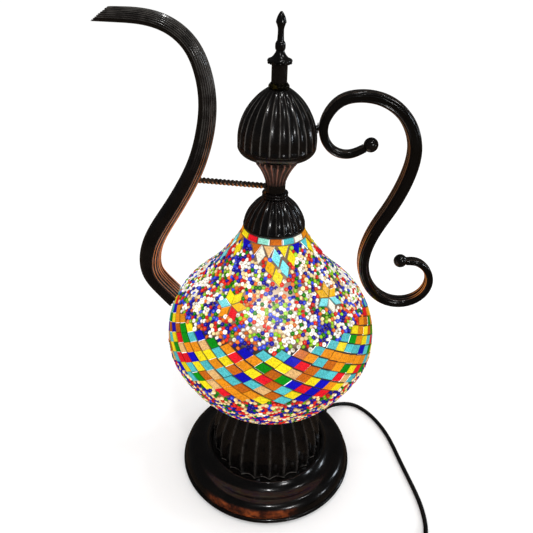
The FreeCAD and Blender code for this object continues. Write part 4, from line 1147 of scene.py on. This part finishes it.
NODE_LOOKS = [
    (BASE_BRONZE, "base_saucer"),
    (DARK_BRONZE, "neck_collar lid_bowl finial_stem finial_flange finial_spire"),
    (DARK_BRONZE, "handle_end_balls handle_screw handle_spacer strut_rivet"),
    (BRASS, "finial_collar socket_thread_ring socket_contact bulb_cap switch_contacts plug_pins"),
    (ZINC, "base_cover_plate center_rod upper_rod lower_nuts upper_nuts lower_washers harp_frame"),
    (ZINC, "rocker_pin"),
    (IRON, "base_weight"),
    (FELT, "base_felt"),
    (RUBBER, "cord_grommet globe_seat_gasket cap_gasket"),
    (PLASTIC, "socket_body switch_base switch_cover switch_rocker plug_body"),
    (SHEATH, "power_cord inner_wires"),
    (GLASS, "glass_globe"),
    (BULB_GLASS, "bulb_glass"),
    (STICKS, "bulb_filament"),
]


def dress_nodes():
    """Give each CAD node that stays in view its material."""
    for look, names in NODE_LOOKS:
        for name in names.split():
            slots = NODES[name].data.materials
            slots.clear()
            slots.append(look)


# ---- stage ----


# How bright the surround is to the eye, and as gloss mirrors it.
SURROUND, SURROUND_MIRRORED = 1.0, 0.045


def floor_paper(tree):
    """Pale paper, which polished metal mirrors as a darker table."""
    mirrored = node(tree, "LightPath").outputs["Is Glossy Ray"]
    cloud = noise(tree, 12, 3)
    paper = blend(tree, cloud, (0.86, 0.86, 0.855, 1), (0.9, 0.9, 0.895, 1))
    return {
        "Base Color": blend(tree, mirrored, paper, (0.055, 0.04, 0.028, 1)),
        "Emission Color": (1.0, 1.0, 1.0, 1.0),
        "Emission Strength": ramp(tree, mirrored, 0.0, 1.0, 0.14, 0.0),
    }


def build_stage():
    """A wide pale floor and a pale surround that gloss sees as a dim room."""
    reach, low = 30.0, -0.0002
    corners = [(-reach, -reach, low), (reach, -reach, low), (reach, reach, low), (-reach, reach, low)]
    mesh = bpy.data.meshes.new("floor")
    mesh.from_pydata(corners, [], [(0, 1, 2, 3)])
    mesh.materials.append(
        material("floor_paper", floor_paper, Roughness=0.9, **{"Specular IOR Level": 0.0})
    )
    add_object("floor", mesh)

    world = bpy.data.worlds.new("surround")
    bpy.context.scene.world = world
    world.use_nodes = True
    tree = world.node_tree
    mirrored = node(tree, "LightPath").outputs["Is Glossy Ray"]
    background = tree.nodes["Background"]
    background.inputs["Color"].default_value = (1, 1, 1, 1)
    strength = ramp(tree, mirrored, 0.0, 1.0, SURROUND, SURROUND_MIRRORED)
    tree.links.new(strength, background.inputs["Strength"])


def area_light(name, place, aim, power, width, height, colour=(1, 1, 1)):
    """A soft box at a place that faces a point."""
    data = bpy.data.lights.new(name, "AREA")
    data.shape = "RECTANGLE"
    data.size, data.size_y = width, height
    data.energy, data.color = power, colour
    light = add_object(name, data)
    light.location = place
    light.rotation_mode = "QUATERNION"
    light.rotation_quaternion = (Vector(aim) - Vector(place)).to_track_quat("-Z", "Y")


def build_lights():
    """Small lamps above, a soft box at the front right and windows at the right."""
    area_light("ceiling_lamp", (0.22, -0.03, 1.6), (0, 0, 0.1), 0.9, 0.07, 0.07)
    area_light("wall_lamp", (0.62, -0.13, 1.33), (0, 0, 0.1), 0.4, 0.045, 0.045)
    area_light("front_lamp", (0.1, -0.72, 1.35), (0, 0, 0.2), 1.5, 0.07, 0.07)
    area_light("key_box", (0.66, -1.1, 0.72), (0, 0, 0.15), 1.8, 0.2, 0.1)
    area_light("window_low", (1.3, -0.42, 0.4), (0, 0, 0.1), 0.8, 0.14, 0.14, (0.85, 0.92, 1.0))
    area_light("window_high", (1.3, 0.3, 0.75), (0, 0, 0.1), 1.6, 0.14, 0.3, (0.8, 0.9, 1.0))


def build_camera():
    """The viewing angle: a short lens, a little above the lid and looking 30 degrees down."""
    looking_down, roll = math.radians(30.13), math.radians(1.66)
    data = bpy.data.cameras.new("camera")
    data.sensor_width, data.lens = 36.0, 36.84
    data.clip_start, data.clip_end = 0.01, 100
    camera = add_object("camera", data)
    camera.location = (-0.0048, -0.3722, 0.4264)
    camera.rotation_mode = "QUATERNION"
    level = Quaternion((1, 0, 0), math.pi / 2 - looking_down)
    camera.rotation_quaternion = level @ Quaternion((0, 0, 1), roll)
    bpy.context.scene.camera = camera


bpy.context.scene.view_settings.view_transform = "Standard"
dress_nodes()
build_fluted_pieces()
build_spout()
build_handle()
build_strut()
build_flange_beads()
build_mosaic()
build_stage()
build_lights()
build_camera()
